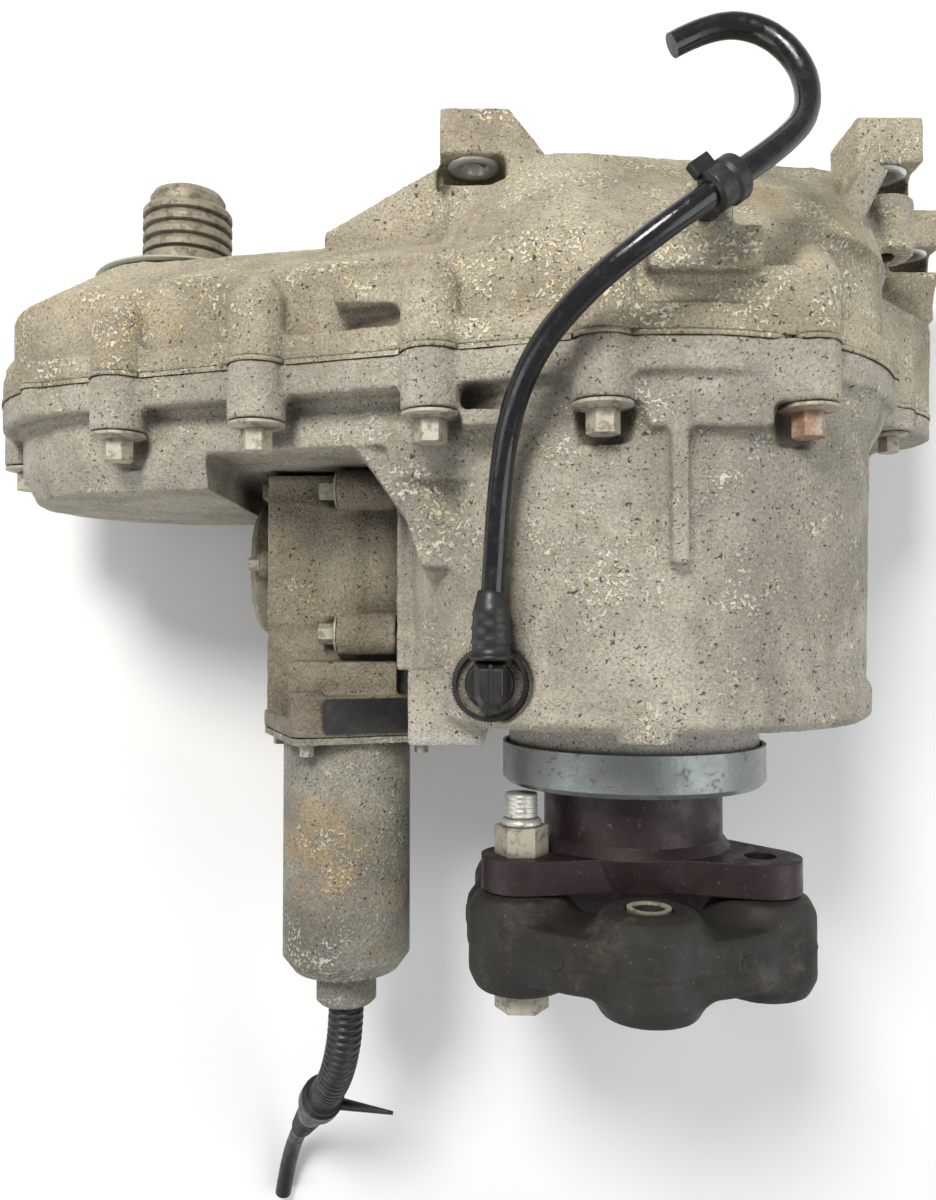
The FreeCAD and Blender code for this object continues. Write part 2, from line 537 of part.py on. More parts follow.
def clutch_basket():
    back = PACK_BACK - 1.0
    wall = ring(BASKET_R, BASKET_R - BASKET_WALL, back, BASKET_FRONT - BASKET_FLOOR)
    floor = ring(BASKET_R, BUSH_R + 4, BASKET_FRONT - BASKET_FLOOR, BASKET_FRONT)
    sleeve = ring(BUSH_R + 12, BUSH_R + 4, BASKET_FRONT, CHAIN_REAR)
    slot = block(-LUG_WIDTH / 2 - NEAR, LUG_WIDTH / 2 + NEAR, back - 1, PACK_FRONT + 1,
                 BASKET_R - BASKET_WALL - 1, BASKET_R + 1)
    return fused([wall, floor, sleeve]).cut(around(slot, LUGS))


def return_spring():
    front, back = HUB_BACK + 4.8, PRESS_FRONT + 0.1
    return turned([(HUB_SEAT_R + 3.4, front - 1.2), (HUB_SEAT_R + 3.4, front), (HUB_R - 4.4, back + 1.2),
                   (HUB_R - 4.4, back)])


def pressure_plate():
    back = PRESS_FRONT - PRESS_THICK
    return ring(BASKET_R - BASKET_WALL - 2, RAMP_BORE_R - 3, back, PRESS_FRONT)


def ramp_track():
    """The ramp that one ball runs up: the ring it is cut from moves PRESS_TRAVEL as the lever turns."""
    turn = math.radians(LEVER_TURN)
    start = V(BALL_CIRCLE_R, 0, 0)
    end = V(BALL_CIRCLE_R * math.cos(turn), -PRESS_TRAVEL, -BALL_CIRCLE_R * math.sin(turn))
    room = BALL_R + 3 * FIT
    run = Part.makeCylinder(room, (end - start).Length, start, end - start)
    return fused([run, Part.makeSphere(room, start), Part.makeSphere(room, end)])


# The cam and the lever that turn the ramp
CAM_TURN = 100.0
LEVER_TURN = 3.2
CAM_R, CAM_OFFSET = 13.0, 2.5
CAM_MID_X, CAM_WIDTH = PAD_X + 21.0, 8.0
LEVER_FOOT_Z = CAM_Z + CAM_R - CAM_OFFSET * math.sin(math.radians(CAM_TURN / 2)) + 0.3
WORM_X, WORM_Z = PAD_X - 22.5, -12.0


def sliding_ramp_ring():
    body = ring(RAMP_R, RAMP_BORE_R, SLIDING_FRONT - RAMP_THICK, SLIDING_FRONT)
    tab = block(RAMP_R - 4, BARREL_BORE_R - 3, SLIDING_FRONT - RAMP_THICK, SLIDING_FRONT, -7, 7)
    tracks = around(set_at(ramp_track(), 0, TURNING_FRONT + RAMP_GAP / 2, 0), BALLS)
    return fused([body, tab]).cut(tracks)


def turning_ramp_ring():
    body = ring(RAMP_R, RAMP_BORE_R, TURNING_BACK, TURNING_FRONT)
    half = CAM_WIDTH / 2 + 1
    lever = plate_y([(-40, 8), (CAM_MID_X + half, -14), (CAM_MID_X - half, -20),
                     (CAM_MID_X - half, LEVER_FOOT_Z), (CAM_MID_X + half, LEVER_FOOT_Z), (-52, -24),
                     (-40, -30)], TURNING_BACK, TURNING_FRONT)
    pocket = Part.makeSphere(BALL_R + FIT, V(BALL_CIRCLE_R, TURNING_FRONT + RAMP_GAP / 2, 0))
    return fused([body, lever]).cut(around(pocket, BALLS))


def ramp_balls():
    return around(Part.makeSphere(BALL_R, V(BALL_CIRCLE_R, TURNING_FRONT + RAMP_GAP / 2, 0)), BALLS)


# Chain and sprockets
def toothed_rim(x, z, far_angle):
    """A sprocket rim whose tooth gap faces far_angle, measured from +X towards +Z."""
    points = []
    for i in range(TEETH):
        mid = far_angle + (i + 0.5) * 2 * math.pi / TEETH
        for offset, depth in ((-3.0, 6.0), (-1.0, 1.4), (1.0, 1.4), (3.0, 6.0)):
            r = PITCH_R - depth
            points.append((x + r * math.cos(mid + offset / r), z + r * math.sin(mid + offset / r)))
    return plate_y(points, CHAIN_REAR, CHAIN_FRONT)


def chain_frame():
    """Unit vectors from the front output to the main shaft and square to it, and the centre distance."""
    gap = math.hypot(ARM_X, ARM_Z)
    return (-ARM_X / gap, -ARM_Z / gap), (ARM_Z / gap, -ARM_X / gap), gap


def drive_sprocket():
    (ux, uz), _, _ = chain_frame()
    return toothed_rim(0, 0, math.atan2(uz, ux)).cut(rod(BUSH_R + 4, CHAIN_REAR - 1, CHAIN_FRONT + 1))


def driven_sprocket():
    (ux, uz), _, _ = chain_frame()
    rim = toothed_rim(ARM_X, ARM_Z, math.atan2(-uz, -ux))
    pocket = ring(PITCH_R - 12, OUTPUT_SHAFT_R + 12, CHAIN_FRONT - 6, CHAIN_FRONT + 1, ARM_X, ARM_Z)
    return rim.cut(pocket).cut(rod(OUTPUT_SHAFT_R + 2 + FIT, CHAIN_REAR - 1, CHAIN_FRONT + 1, ARM_X, ARM_Z))


def chain_pin(s):
    """Where the chain's pin line lies after the length s, from the far side of the drive sprocket."""
    (ux, uz), (vx, vz), gap = chain_frame()
    arc = math.pi * PITCH_R / 2
    along, across = 0.0, 0.0
    if s <= arc:
        along, across = PITCH_R * math.cos(s / PITCH_R), PITCH_R * math.sin(s / PITCH_R)
    elif s <= arc + gap:
        along, across = arc - s, PITCH_R
    else:
        turn = (s - arc - gap) / PITCH_R
        along, across = -gap - PITCH_R * math.sin(turn), PITCH_R * math.cos(turn)
    return along * ux + across * vx, along * uz + across * vz


def drive_chain():
    """A silent chain: middle plates and pairs of side plates in turn, with teeth on the inside."""
    _, _, gap = chain_frame()
    loop = 2 * gap + 2 * math.pi * PITCH_R
    links = 2 * round(loop / CHAIN_PITCH / 2)
    (ux, uz), _, _ = chain_frame()
    pins = []
    for i in range(links + 1):
        s = i * loop / links
        mirrored = s > loop / 2
        x, z = chain_pin(loop - s if mirrored else s)
        if mirrored:
            along = x * ux + z * uz
            x, z = 2 * along * ux - x, 2 * along * uz - z
        pins.append((x, z))
    middle, side = 11.0, (CHAIN_WIDTH - 11.4) / 2
    spans = [[(-middle / 2, middle / 2)], [(-CHAIN_WIDTH / 2, -CHAIN_WIDTH / 2 + side),
                                           (CHAIN_WIDTH / 2 - side, CHAIN_WIDTH / 2)]]
    plates = []
    for i in range(links):
        (x0, z0), (x1, z1) = pins[i], pins[i + 1]
        length = math.hypot(x1 - x0, z1 - z0)
        ax, az = (x1 - x0) / length, (z1 - z0) / length
        half = length / 2
        form = [(-3.2, 4.0), (length + 3.2, 4.0), (length + 4.2, 0.8), (length + 1.6, -4.4),
                (length - 1.6, -4.4), (half + 1.6, -0.6), (half - 1.6, -0.6), (1.6, -4.4), (-1.6, -4.4),
                (-4.2, 0.8)]
        points = [(x0 + a * ax + b * az, z0 + a * az - b * ax) for a, b in form]
        for low, high in spans[i % 2]:
            plates.append(plate_y(points, -CHAIN_DEPTH + low, -CHAIN_DEPTH + high))
    return plates


# The front output
def front_output_shaft():
    top = -ARM_FACE_DEPTH + STUB_LENGTH
    groove_r = STUB_R - 1.8
    profile = [(0, top - 6), (6, top - 6), (6, top), (12, top), (15, top - 1.5), (16.5, top - 4),
               (16.5, top - 8)]
    y = top - 9
    for _ in range(STUB_GROOVES):
        profile += [(STUB_R - 0.8, y), (STUB_R, y - 1.2), (STUB_R, y - 3.6), (groove_r, y - 4.4),
                    (groove_r, y - 5.4)]
        y -= STUB_GROOVE_PITCH
    profile += [(STUB_R, y), (STUB_R, ARM_BEARING_FRONT), (OUTPUT_SHAFT_R, ARM_BEARING_FRONT),
                (OUTPUT_SHAFT_R, ARM_BEARING_BACK), (OUTPUT_SHAFT_R + 6, ARM_BEARING_BACK),
                (OUTPUT_SHAFT_R + 6, CHAIN_FRONT), (OUTPUT_SHAFT_R + 2, CHAIN_FRONT),
                (OUTPUT_SHAFT_R + 2, CHAIN_REAR), (SMALL_JOURNAL_R, CHAIN_REAR - 2),
                (SMALL_JOURNAL_R, ARM_REAR + REAR_WALL + 1), (0, ARM_REAR + REAR_WALL + 1)]
    return turned(profile, ARM_X, ARM_Z)


def front_dust_shield():
    face = -ARM_FACE_DEPTH + 0.6
    return turned([(STUB_R + FIT, face), (38, face), (39.2, face + 1.4), (38.4, face + 2.4), (23, face + 2.0),
                   (21.5, face + 5), (STUB_R + FIT, face + 5)], ARM_X, ARM_Z)


def bearing(r_out, r_in, y_low, y_high, x=0.0, z=0.0):
    """Outer race, cage and inner race."""
    third = (r_out - r_in) / 3
    return [ring(r_out - FIT / 2, r_out - third, y_low, y_high, x, z),
            ring(r_out - third, r_in + third, y_low + 2, y_high - 2, x, z),
            ring(r_in + third, r_in + FIT, y_low, y_high, x, z)]


def lip_seal(r_out, r_in, y_low, y_high, x=0.0, z=0.0):
    """A shaft seal: a flanged ring with a thin lip that reaches to the shaft."""
    mid = (y_low + y_high) / 2
    rim = r_out - FIT / 2
    return turned([(rim, y_low), (rim, y_high), (r_in + 1.5, y_high), (r_in + 1.5, mid + 1),
                   (r_in + FIT, mid), (r_in + 2.5, y_low)], x, z)


# The rear output
def flange_arm(radius, y_low, y_high):
    return hull_prism([(0, 0, 31.0), (0, FLANGE_PCD_R, radius)], y_low, y_high)


def output_flange():
    plate_front = FLANGE_FRONT - FLANGE_HUB_LENGTH
    hub = turned([(FLANGE_SEAT_R + FIT, REAR_BEARING_BACK - 1.2), (HUB_NOSE_R, REAR_BEARING_BACK - 1.2),
                  (HUB_NOSE_R, FLANGE_FRONT), (FLANGE_HUB_R, FLANGE_FRONT), (FLANGE_HUB_R, plate_front + 4),
                  (FLANGE_HUB_R + 3, plate_front), (FLANGE_HUB_R, FLANGE_BACK), (23, FLANGE_BACK),
                  (23, FLANGE_BACK + NUT_SINK), (FLANGE_SEAT_R + FIT, FLANGE_BACK + NUT_SINK)])
    arms = around(flange_arm(15.5, FLANGE_BACK, plate_front), 3, first=FLANGE_TURN)
    bore = rod(FLEX_BOLT_R + 0.1, FLANGE_BACK - 1, plate_front + 1, 0, FLANGE_PCD_R)
    bores = around(bore, 3, first=FLANGE_TURN)
    room = rod(23, FLANGE_BACK - 1, FLANGE_BACK + NUT_SINK)
    seat = rod(FLANGE_SEAT_R + FIT, FLANGE_BACK, FLANGE_FRONT)
    return fused([hub] + arms).cut(bores + [room, seat])


def rear_dust_shield():
    skirt_r = NECK_R + 2.5
    sheet = 1.4
    return turned([(HUB_NOSE_R + FIT, FLANGE_FRONT), (skirt_r - 2, FLANGE_FRONT), (skirt_r, FLANGE_FRONT + 2),
                   (skirt_r, NECK_END + 4), (skirt_r - sheet, NECK_END + 4),
                   (skirt_r - sheet, FLANGE_FRONT + 1 + sheet), (skirt_r - 1 - sheet, FLANGE_FRONT + sheet),
                   (HUB_NOSE_R + FIT, FLANGE_FRONT + sheet)])


def hexagon(across_flats, y_low, y_high, x=0.0, z=0.0):
    r = across_flats / math.sqrt(3)
    points = [(x + r * math.cos(i * math.pi / 3), z + r * math.sin(i * math.pi / 3)) for i in range(6)]
    return plate_y(points, y_low, y_high)


def flange_nut():
    back = FLANGE_BACK + NUT_SINK
    return hexagon(36.0, back - 9, back).cut(rod(THREAD_R + FIT, back - 10, back + 1))


# The flexible coupling and its bolt
DISC_BODY_R = 20.5
DISC_BORE_R = 34.0
DISC_BAND_R = 68.0
SLEEVE_R = 8.0
SLEEVE_PROUD = 1.2
DISC_FRONT = FLANGE_BACK - SLEEVE_PROUD
DISC_BACK = DISC_FRONT - DISC_THICK
NUT_FLAT, NUT_HEIGHT = 18.0, 11.0


def flex_disc():
    """The rubber coupling: six lobes round the sleeves, joined by a ring."""
    lobe_tip = turned([(0, DISC_BACK), (DISC_BODY_R - 3, DISC_BACK), (DISC_BODY_R, DISC_BACK + 4),
                       (DISC_BODY_R, DISC_FRONT - 4), (DISC_BODY_R - 3, DISC_FRONT), (0, DISC_FRONT)],
                      0, FLANGE_PCD_R)
    band_low, band_high = DISC_BACK + 3, DISC_FRONT - 3
    band = turned([(DISC_BORE_R, band_low), (DISC_BAND_R - 2, band_low), (DISC_BAND_R, band_low + 4),
                   (DISC_BAND_R, band_high - 4), (DISC_BAND_R - 2, band_high), (DISC_BORE_R, band_high)])
    bores = around(rod(SLEEVE_R + FIT, DISC_BACK - 1, DISC_FRONT + 1, 0, FLANGE_PCD_R), 6, first=FLANGE_TURN)
    body = fused([band] + around(lobe_tip, 6, first=FLANGE_TURN))
    return body.cut(bores + [rod(DISC_BORE_R, DISC_BACK - 1, DISC_FRONT + 1)])


def flex_sleeves():
    sleeve = ring(SLEEVE_R, FLEX_BOLT_R + FIT, DISC_BACK - SLEEVE_PROUD, FLANGE_BACK, 0, FLANGE_PCD_R)
    return around(sleeve, 6, first=FLANGE_TURN)


def at_first_arm(piece):
    piece.rotate(V(0, 0, 0), Y_AXIS, FLANGE_TURN)
    return piece


def flex_bolt():
    head_top = DISC_BACK - SLEEVE_PROUD
    plate_front = FLANGE_FRONT - FLANGE_HUB_LENGTH
    head = hexagon(NUT_FLAT, head_top - 7.5, head_top, 0, FLANGE_PCD_R)
    washer = rod(NUT_FLAT / 2 + 1.6, head_top - 2, head_top, 0, FLANGE_PCD_R)
    shank = rod(FLEX_BOLT_R, head_top - 1, plate_front + NUT_HEIGHT + 10, 0, FLANGE_PCD_R)
    return at_first_arm(fused([head, washer, shank]))


def flex_nut():
    seat = FLANGE_FRONT - FLANGE_HUB_LENGTH
    nut = hexagon(NUT_FLAT, seat, seat + NUT_HEIGHT, 0, FLANGE_PCD_R)
    return at_first_arm(nut.cut(rod(FLEX_BOLT_R + FIT, seat - 1, seat + NUT_HEIGHT + 1, 0, FLANGE_PCD_R)))


# The oil pump: a rotor pump round the main shaft, behind the front bearing
def rotor_outline():
    """The inner rotor's outline: what the outer rotor's round lobes leave as both turn."""
    points = []
    steps = (ROTOR_TEETH - 1) * ROTOR_POINTS
    for i in range(steps):
        a = 2 * math.pi * i / steps
        px = ROTOR_CENTRE_R * math.cos(a) + ROTOR_OFFSET * math.cos(ROTOR_TEETH * a)
        pz = ROTOR_CENTRE_R * math.sin(a) + ROTOR_OFFSET * math.sin(ROTOR_TEETH * a)
        tx = -ROTOR_CENTRE_R * math.sin(a) - ROTOR_OFFSET * ROTOR_TEETH * math.sin(ROTOR_TEETH * a)
        tz = ROTOR_CENTRE_R * math.cos(a) + ROTOR_OFFSET * ROTOR_TEETH * math.cos(ROTOR_TEETH * a)
        size = math.hypot(tx, tz)
        inset = ROTOR_LOBE_R + ROTOR_CLEARANCE
        points.append((px - inset * tz / size, pz + inset * tx / size))
    return points


def pump_inner_rotor():
    back = PUMP_FRONT - 3 - ROTOR_THICK
    return plate_y(rotor_outline(), back + FIT, back + ROTOR_THICK - FIT).cut(
        rod(SHAFT_R + FIT, back - 1, back + ROTOR_THICK + 1))


def pump_outer_rotor():
    back = PUMP_FRONT - 3 - ROTOR_THICK
    low, high = back + FIT, back + ROTOR_THICK - FIT
    rim_r = ROTOR_R - 2 * FIT
    room_r = ROTOR_CENTRE_R + 2 * ROTOR_OFFSET - ROTOR_LOBE_R + 2.4
    shell = ring(rim_r, room_r, low, high, ROTOR_OFFSET, 0)
    turns = [i * 2 * math.pi / ROTOR_TEETH for i in range(ROTOR_TEETH)]
    lobes = [rod(ROTOR_LOBE_R, low, high, ROTOR_OFFSET + ROTOR_CENTRE_R * math.cos(a),
                 ROTOR_CENTRE_R * math.sin(a)) for a in turns]
    rim = rod(rim_r, low, high, ROTOR_OFFSET, 0)
    return fused([shell] + lobes).common(rim)


def oil_pump_housing():
    body = ring(PUMP_R, SHAFT_R + 1, PUMP_FRONT - PUMP_THICK + PUMP_COVER, PUMP_FRONT)
    room = rod(ROTOR_R, PUMP_FRONT - 3 - ROTOR_THICK, PUMP_FRONT - 3, ROTOR_OFFSET, 0)
    return body.cut(room)


def oil_pump_cover():
    back = PUMP_FRONT - PUMP_THICK
    return ring(PUMP_R, SHAFT_R + 1, back, back + PUMP_COVER)


# The actuator: housing, worm gear and cam shaft on the left of the barrel, motor behind
HOUSING_X, HOUSING_FRONT, HOUSING_BACK = PAD_X - 54.0, -110.0, BARREL_END - NEAR
MOTOR_FLANGE = 8.0
MOTOR_FRONT = HOUSING_BACK - MOTOR_FLANGE
MOTOR_R, MOTOR_LENGTH, MOTOR_WALL = 26.5, 98.0, 3.0
MOTOR_BACK = MOTOR_FRONT - MOTOR_LENGTH
CAP_R, CAP_LENGTH = 12.5, 15.0
CAP_BACK = MOTOR_BACK - CAP_LENGTH
WORM_R, WHEEL_TEETH = 9.0, 30
WHEEL_R = WORM_Z - CAM_Z - WORM_R
WORM_PITCH = 2 * math.pi * WHEEL_R / WHEEL_TEETH
WORM_ROOM_R, WHEEL_ROOM_R = 11.5, 28.5
WHEEL_WIDTH = 8.0
CAM_SHAFT_R, WORM_SHAFT_R = 8.0, 5.0
COVER_R, COVER_DEPTH = 30.0, 12.0
MOTOR_EARS = [(WORM_X + 32.0, WORM_Z + 14.0, 7.0), (WORM_X - 12.5, WORM_Z + 29.0, 7.0),
              (WORM_X - 31.5, WORM_Z - 16.0, 7.0), (WORM_X + 0.5, WORM_Z - 35.0, 8.0)]
MOTOR_SCREW_R = 2.5
ACTUATOR_EAR = 24.0
ACTUATOR_BOLT_R = 4.0
ACTUATOR_SPOT_R = 7.8


def actuator_housing():
    pieces = [block(HOUSING_X, PAD_X, HOUSING_BACK, HOUSING_FRONT, -80, 2),
              rod(17, HOUSING_BACK, HOUSING_FRONT - 4, WORM_X, WORM_Z),
              block(PAD_X - 44, PAD_X, HOUSING_BACK, HOUSING_BACK + 22, -20, 9),
              block(HOUSING_X - 4, HOUSING_X + 2, HOUSING_FRONT - 9, HOUSING_FRONT - 2, -31, -6),
              hull_prism(MOTOR_EARS, MOTOR_FRONT, HOUSING_BACK)]
    pieces += [cross_rod(8.5, PAD_X - ACTUATOR_EAR, PAD_X, y, z) for y, z in ACTUATOR_BOLTS]
    cuts = [cross_rod(WHEEL_ROOM_R, HOUSING_X - 5, WORM_X + WHEEL_WIDTH, CAM_Y, CAM_Z),
            rod(WORM_ROOM_R, MOTOR_FRONT - 1, -128, WORM_X, WORM_Z),
            rod(WORM_SHAFT_R + FIT, -129, -118, WORM_X, WORM_Z),
            cross_rod(CAM_SHAFT_R + FIT, WORM_X, PAD_X + 1, CAM_Y, CAM_Z)]
    cuts += [cross_rod(ACTUATOR_BOLT_R + NEAR, HOUSING_X, PAD_X + 1, y, z) for y, z in ACTUATOR_BOLTS]
    cuts += [cross_rod(ACTUATOR_SPOT_R, HOUSING_X - 1, PAD_X - ACTUATOR_EAR, y, z)
             for y, z in ACTUATOR_BOLTS]
    cuts += [rod(MOTOR_SCREW_R + FIT, MOTOR_FRONT - 1, HOUSING_BACK + 6, x, z) for x, z, _ in MOTOR_EARS]
    cuts += [cross_rod(MOTOR_SCREW_R + FIT, HOUSING_X - 1, HOUSING_X + 10, y, z) for y, z in cover_ears()]
    return fused(pieces).cut(cuts)


def cover_ears():
    reach = COVER_R + 6
    return [(CAM_Y + reach * math.cos(a), CAM_Z + reach * math.sin(a))
            for a in [math.radians(90 + 120 * i) for i in range(3)]]


def gear_cover():
    left = HOUSING_X - COVER_DEPTH
    dome = cross_rod(COVER_R, left + 3, HOUSING_X, CAM_Y, CAM_Z)
    top = Part.makeCone(COVER_R, COVER_R - 4, 3, V(left + 3, CAM_Y, CAM_Z), V(-1, 0, 0))
    ears = [cross_rod(6.0, HOUSING_X - 5, HOUSING_X, y, z) for y, z in cover_ears()]
    boss = cross_rod(11.0, left - 1.5, left + 2, CAM_Y, CAM_Z)
    room = cross_rod(COVER_R - 4, left + 3, HOUSING_X + 1, CAM_Y, CAM_Z)
    holes = [cross_rod(MOTOR_SCREW_R + NEAR, HOUSING_X - 6, HOUSING_X + 1, y, z) for y, z in cover_ears()]
    return fused([dome, top, boss] + ears).cut([room] + holes)


def small_screw(grip):
    return star_bolt(MOTOR_SCREW_R, grip, 0.5)


def along_x(bolt, x, y, z):
    """A bolt turned so that its shank points to +X."""
    copy = bolt.copy()
    copy.rotate(V(0, 0, 0), Z_AXIS, -90)
    copy.translate(V(x, y, z))
    return copy


def cover_screws():
    return [along_x(small_screw(13), HOUSING_X - 5, y, z) for y, z in cover_ears()]


def actuator_bolts():
    bolt = star_bolt(ACTUATOR_BOLT_R, ACTUATOR_EAR + 18, 0.75)
    return [along_x(bolt, PAD_X - ACTUATOR_EAR, y, z) for y, z in ACTUATOR_BOLTS]


def motor_screws():
    return [set_at(small_screw(7.5), x, MOTOR_FRONT - 2.5, z) for x, z, _ in MOTOR_EARS]


def motor_can():
    inner = MOTOR_R - MOTOR_WALL
    can = turned([(inner, MOTOR_FRONT), (MOTOR_R, MOTOR_FRONT), (MOTOR_R, MOTOR_BACK + 6),
                  (MOTOR_R - 4.5, MOTOR_BACK), (CAP_R + FIT, MOTOR_BACK),
                  (CAP_R + FIT, MOTOR_BACK + MOTOR_WALL), (inner, MOTOR_BACK + MOTOR_WALL)], WORM_X, WORM_Z)
    flange = hull_prism([(x, z, r - 0.5) for x, z, r in MOTOR_EARS], MOTOR_FRONT - 2.5, MOTOR_FRONT)
    cuts = [rod(inner, MOTOR_FRONT - 3, MOTOR_FRONT + 1, WORM_X, WORM_Z)]
    cuts += [rod(MOTOR_SCREW_R + NEAR, MOTOR_FRONT - 3, MOTOR_FRONT + 1, x, z) for x, z, _ in MOTOR_EARS]
    return can.fuse(flange).removeSplitter().cut(cuts)


def motor_end_cap():
    flange_top = MOTOR_BACK + MOTOR_WALL
    flange_r = MOTOR_R - MOTOR_WALL - NEAR
    bore_r = WORM_SHAFT_R + FIT
    return turned([(0, CAP_BACK), (CAP_R - 1.5, CAP_BACK), (CAP_R, CAP_BACK + 1.5), (CAP_R, flange_top),
                   (flange_r, flange_top), (flange_r, flange_top + 4), (bore_r, flange_top + 4),
                   (bore_r, flange_top - 4), (0, flange_top - 4)], WORM_X, WORM_Z)


def motor_armature():
    winding_r = MOTOR_R - MOTOR_WALL - 3
    return ring(winding_r, WORM_SHAFT_R + FIT, MOTOR_BACK + 14, MOTOR_FRONT - 10, WORM_X, WORM_Z)


def worm_shaft():
    """The motor's shaft with a right-hand worm of one start, in mesh with the wheel's top tooth."""
    turns = 5
    start = CAM_Y + WORM_PITCH / 4 - 3 * WORM_PITCH
    end = start + turns * WORM_PITCH + 3
    helix = Part.makeHelix(WORM_PITCH, turns * WORM_PITCH, WORM_R)
    root, tip = WORM_R - 2.2, WORM_R + 1.4
    corners = [V(root, 0, -1.6), V(tip, 0, -0.6), V(tip, 0, 0.6), V(root, 0, 1.6)]
    thread = Part.Wire(helix).makePipeShell([Part.makePolygon(corners + corners[:1])], True, True)
    thread.rotate(V(0, 0, 0), X_AXIS, -90)
    thread.translate(V(WORM_X, start, WORM_Z))
    core = turned([(0, MOTOR_BACK + MOTOR_WALL), (WORM_SHAFT_R, MOTOR_BACK + MOTOR_WALL),
                   (WORM_SHAFT_R, start - 4), (root + 0.3, start - 4), (root + 0.3, end), (WORM_SHAFT_R, end),
                   (WORM_SHAFT_R, -118.5), (0, -118.5)], WORM_X, WORM_Z)
    return core.fuse(upright(thread))


def worm_wheel():
    points = []
    root, tip = WHEEL_R - 1.9, WHEEL_R + 1.4
    for i in range(WHEEL_TEETH):
        mid = math.pi / 2 + i * 2 * math.pi / WHEEL_TEETH
        for offset, r in ((-1.7, root), (-0.55, tip), (0.55, tip), (1.7, root)):
            points.append((CAM_Y + r * math.cos(mid + offset / r), CAM_Z + r * math.sin(mid + offset / r)))
    rim = plate_x(points, WORM_X - WHEEL_WIDTH / 2, WORM_X + WHEEL_WIDTH / 2)
    return rim.cut(cross_rod(CAM_SHAFT_R + FIT, WORM_X - 10, WORM_X + 10, CAM_Y, CAM_Z))


def cam_shaft():
    """The shaft of the worm wheel, with the round cam that lifts the ramp ring's lever."""
    lean = math.radians(CAM_TURN / 2)
    cam = cross_rod(CAM_R, CAM_MID_X - CAM_WIDTH / 2, CAM_MID_X + CAM_WIDTH / 2,
                    CAM_Y + CAM_OFFSET * math.cos(lean), CAM_Z - CAM_OFFSET * math.sin(lean))
    shaft = cross_rod(CAM_SHAFT_R, WORM_X - WHEEL_WIDTH / 2 - 3, CAM_MID_X + CAM_WIDTH / 2 + 2, CAM_Y, CAM_Z)
    stop = cross_rod(CAM_SHAFT_R + 4, WORM_X + WHEEL_WIDTH / 2, WORM_X + WHEEL_WIDTH / 2 + 3, CAM_Y, CAM_Z)
    return fused([shaft, cam, stop])


# Cords
HOSE_R = 4.0
CONDUIT_R = 7.5
STUB_CABLE_R = 4.0
SLEEVE_TIP_R = 5.5
HOSE_ROUTE = [(x, y, MAIN_R + z) for x, y, z in
              ((-60, -176, -18), (-58.5, -150, -17.5), (-57, -126, -14), (-54, -104, -5), (-46, -86, 9),
               (-31, -71, 21), (-12.5, -58, 28), (6.2, -45, 29), (26.6, -28.4, 20), (37.8, -14.8, 12),
               (37.8, 2.8, 7), (26.8, 16.4, 4), (10.5, 19.2, 2.5), (-2.5, 12.2, 2))]
CONDUIT_ROUTE = [(WORM_X - x, CAP_BACK - y, WORM_Z - z) for x, y, z in
                 ((0, 1, 0), (0.5, 12.7, 1), (2.5, 24.9, 5), (5.5, 35.9, 11.2), (9.2, 45, 19.8),
                  (12.9, 52.5, 29.7))]
STUB_ROUTE = [(WORM_X - x, CAP_BACK - y, WORM_Z - z) for x, y, z in
              ((30.5, 88.7, 74), (34.5, 97.7, 84), (38.5, 108.7, 92), (42, 121.7, 97.5), (44.5, 135.7, 100))]


def cord(name, route, radius):
    """A round cord along straight runs joined by tangent arcs, each as large as its runs allow."""
    points = [V(*p) for p in route]
    edges, here = [], points[0]
    for before, corner, after in zip(points, points[1:], points[2:]):
        run = min((corner - before).Length, (after - corner).Length)
        inward, outward = (corner - before).normalize(), (after - corner).normalize()
        half = inward.getAngle(outward) / 2
        reach = 0.49 * run
        bend = reach / math.tan(half)
        start, end = corner - inward * reach, corner + outward * reach
        middle = corner + (outward - inward).normalize() * (bend / math.cos(half) - bend)
        edges += [Part.makeLine(here, start), Part.Arc(start, middle, end).toShape()]
        here = end
        print("%s bend radius %.1f" % (name, bend))
    edges.append(Part.makeLine(here, points[-1]))
    path = Part.Wire(edges)
    section = Part.Wire(Part.makeCircle(radius, points[0], points[1] - points[0]))
    tube = upright(path.makePipeShell([section], True, False))
    share = tube.Volume / (math.pi * radius ** 2 * path.Length)
    print("%s length %.1f, volume ratio %.4f" % (name, path.Length, share))
    return tube


def conduit_sleeve():
    """The black sleeve that closes the conduit, with the tail of its tie."""
    start, end = V(*CONDUIT_ROUTE[-1]), V(*STUB_ROUTE[0])
    step = (end - start).normalize() * LOOSE
    start, end = start + step, end - step
    along = end - start
    body = Part.makeCone(CONDUIT_R + 1, SLEEVE_TIP_R, along.Length, start, along)
    collar = Part.makeCylinder(CONDUIT_R + 2.5, 8, start + along * 0.1, along)
    root = start + along * 0.25
    side = V(34, 0, 12)
    tail = Part.makeCone(3.5, 0.8, side.Length, root, side)
    return fused([body, collar, tail])


# The breather and its clip
HOSE_START = HOSE_ROUTE[0]


def breather_elbow():
    z = HOSE_START[2]
    stem = post(ELBOW_BORE_R - FIT, ELBOW_X, ELBOW_Y, ELBOW_SEAT_Z - 12, ELBOW_SEAT_Z)
    head = post(5.8, ELBOW_X, ELBOW_Y, ELBOW_SEAT_Z, z + 6.5)
    spigot = rod(5.8, ELBOW_Y, ELBOW_Y + 9, ELBOW_X, z)
    collar = rod(6.0, ELBOW_Y + 8, ELBOW_Y + 12, ELBOW_X, z)
    neck = rod(5.9, ELBOW_Y + 12, HOSE_START[1] - 0.5, ELBOW_X, z)
    return fused([stem, head, spigot, collar, neck])


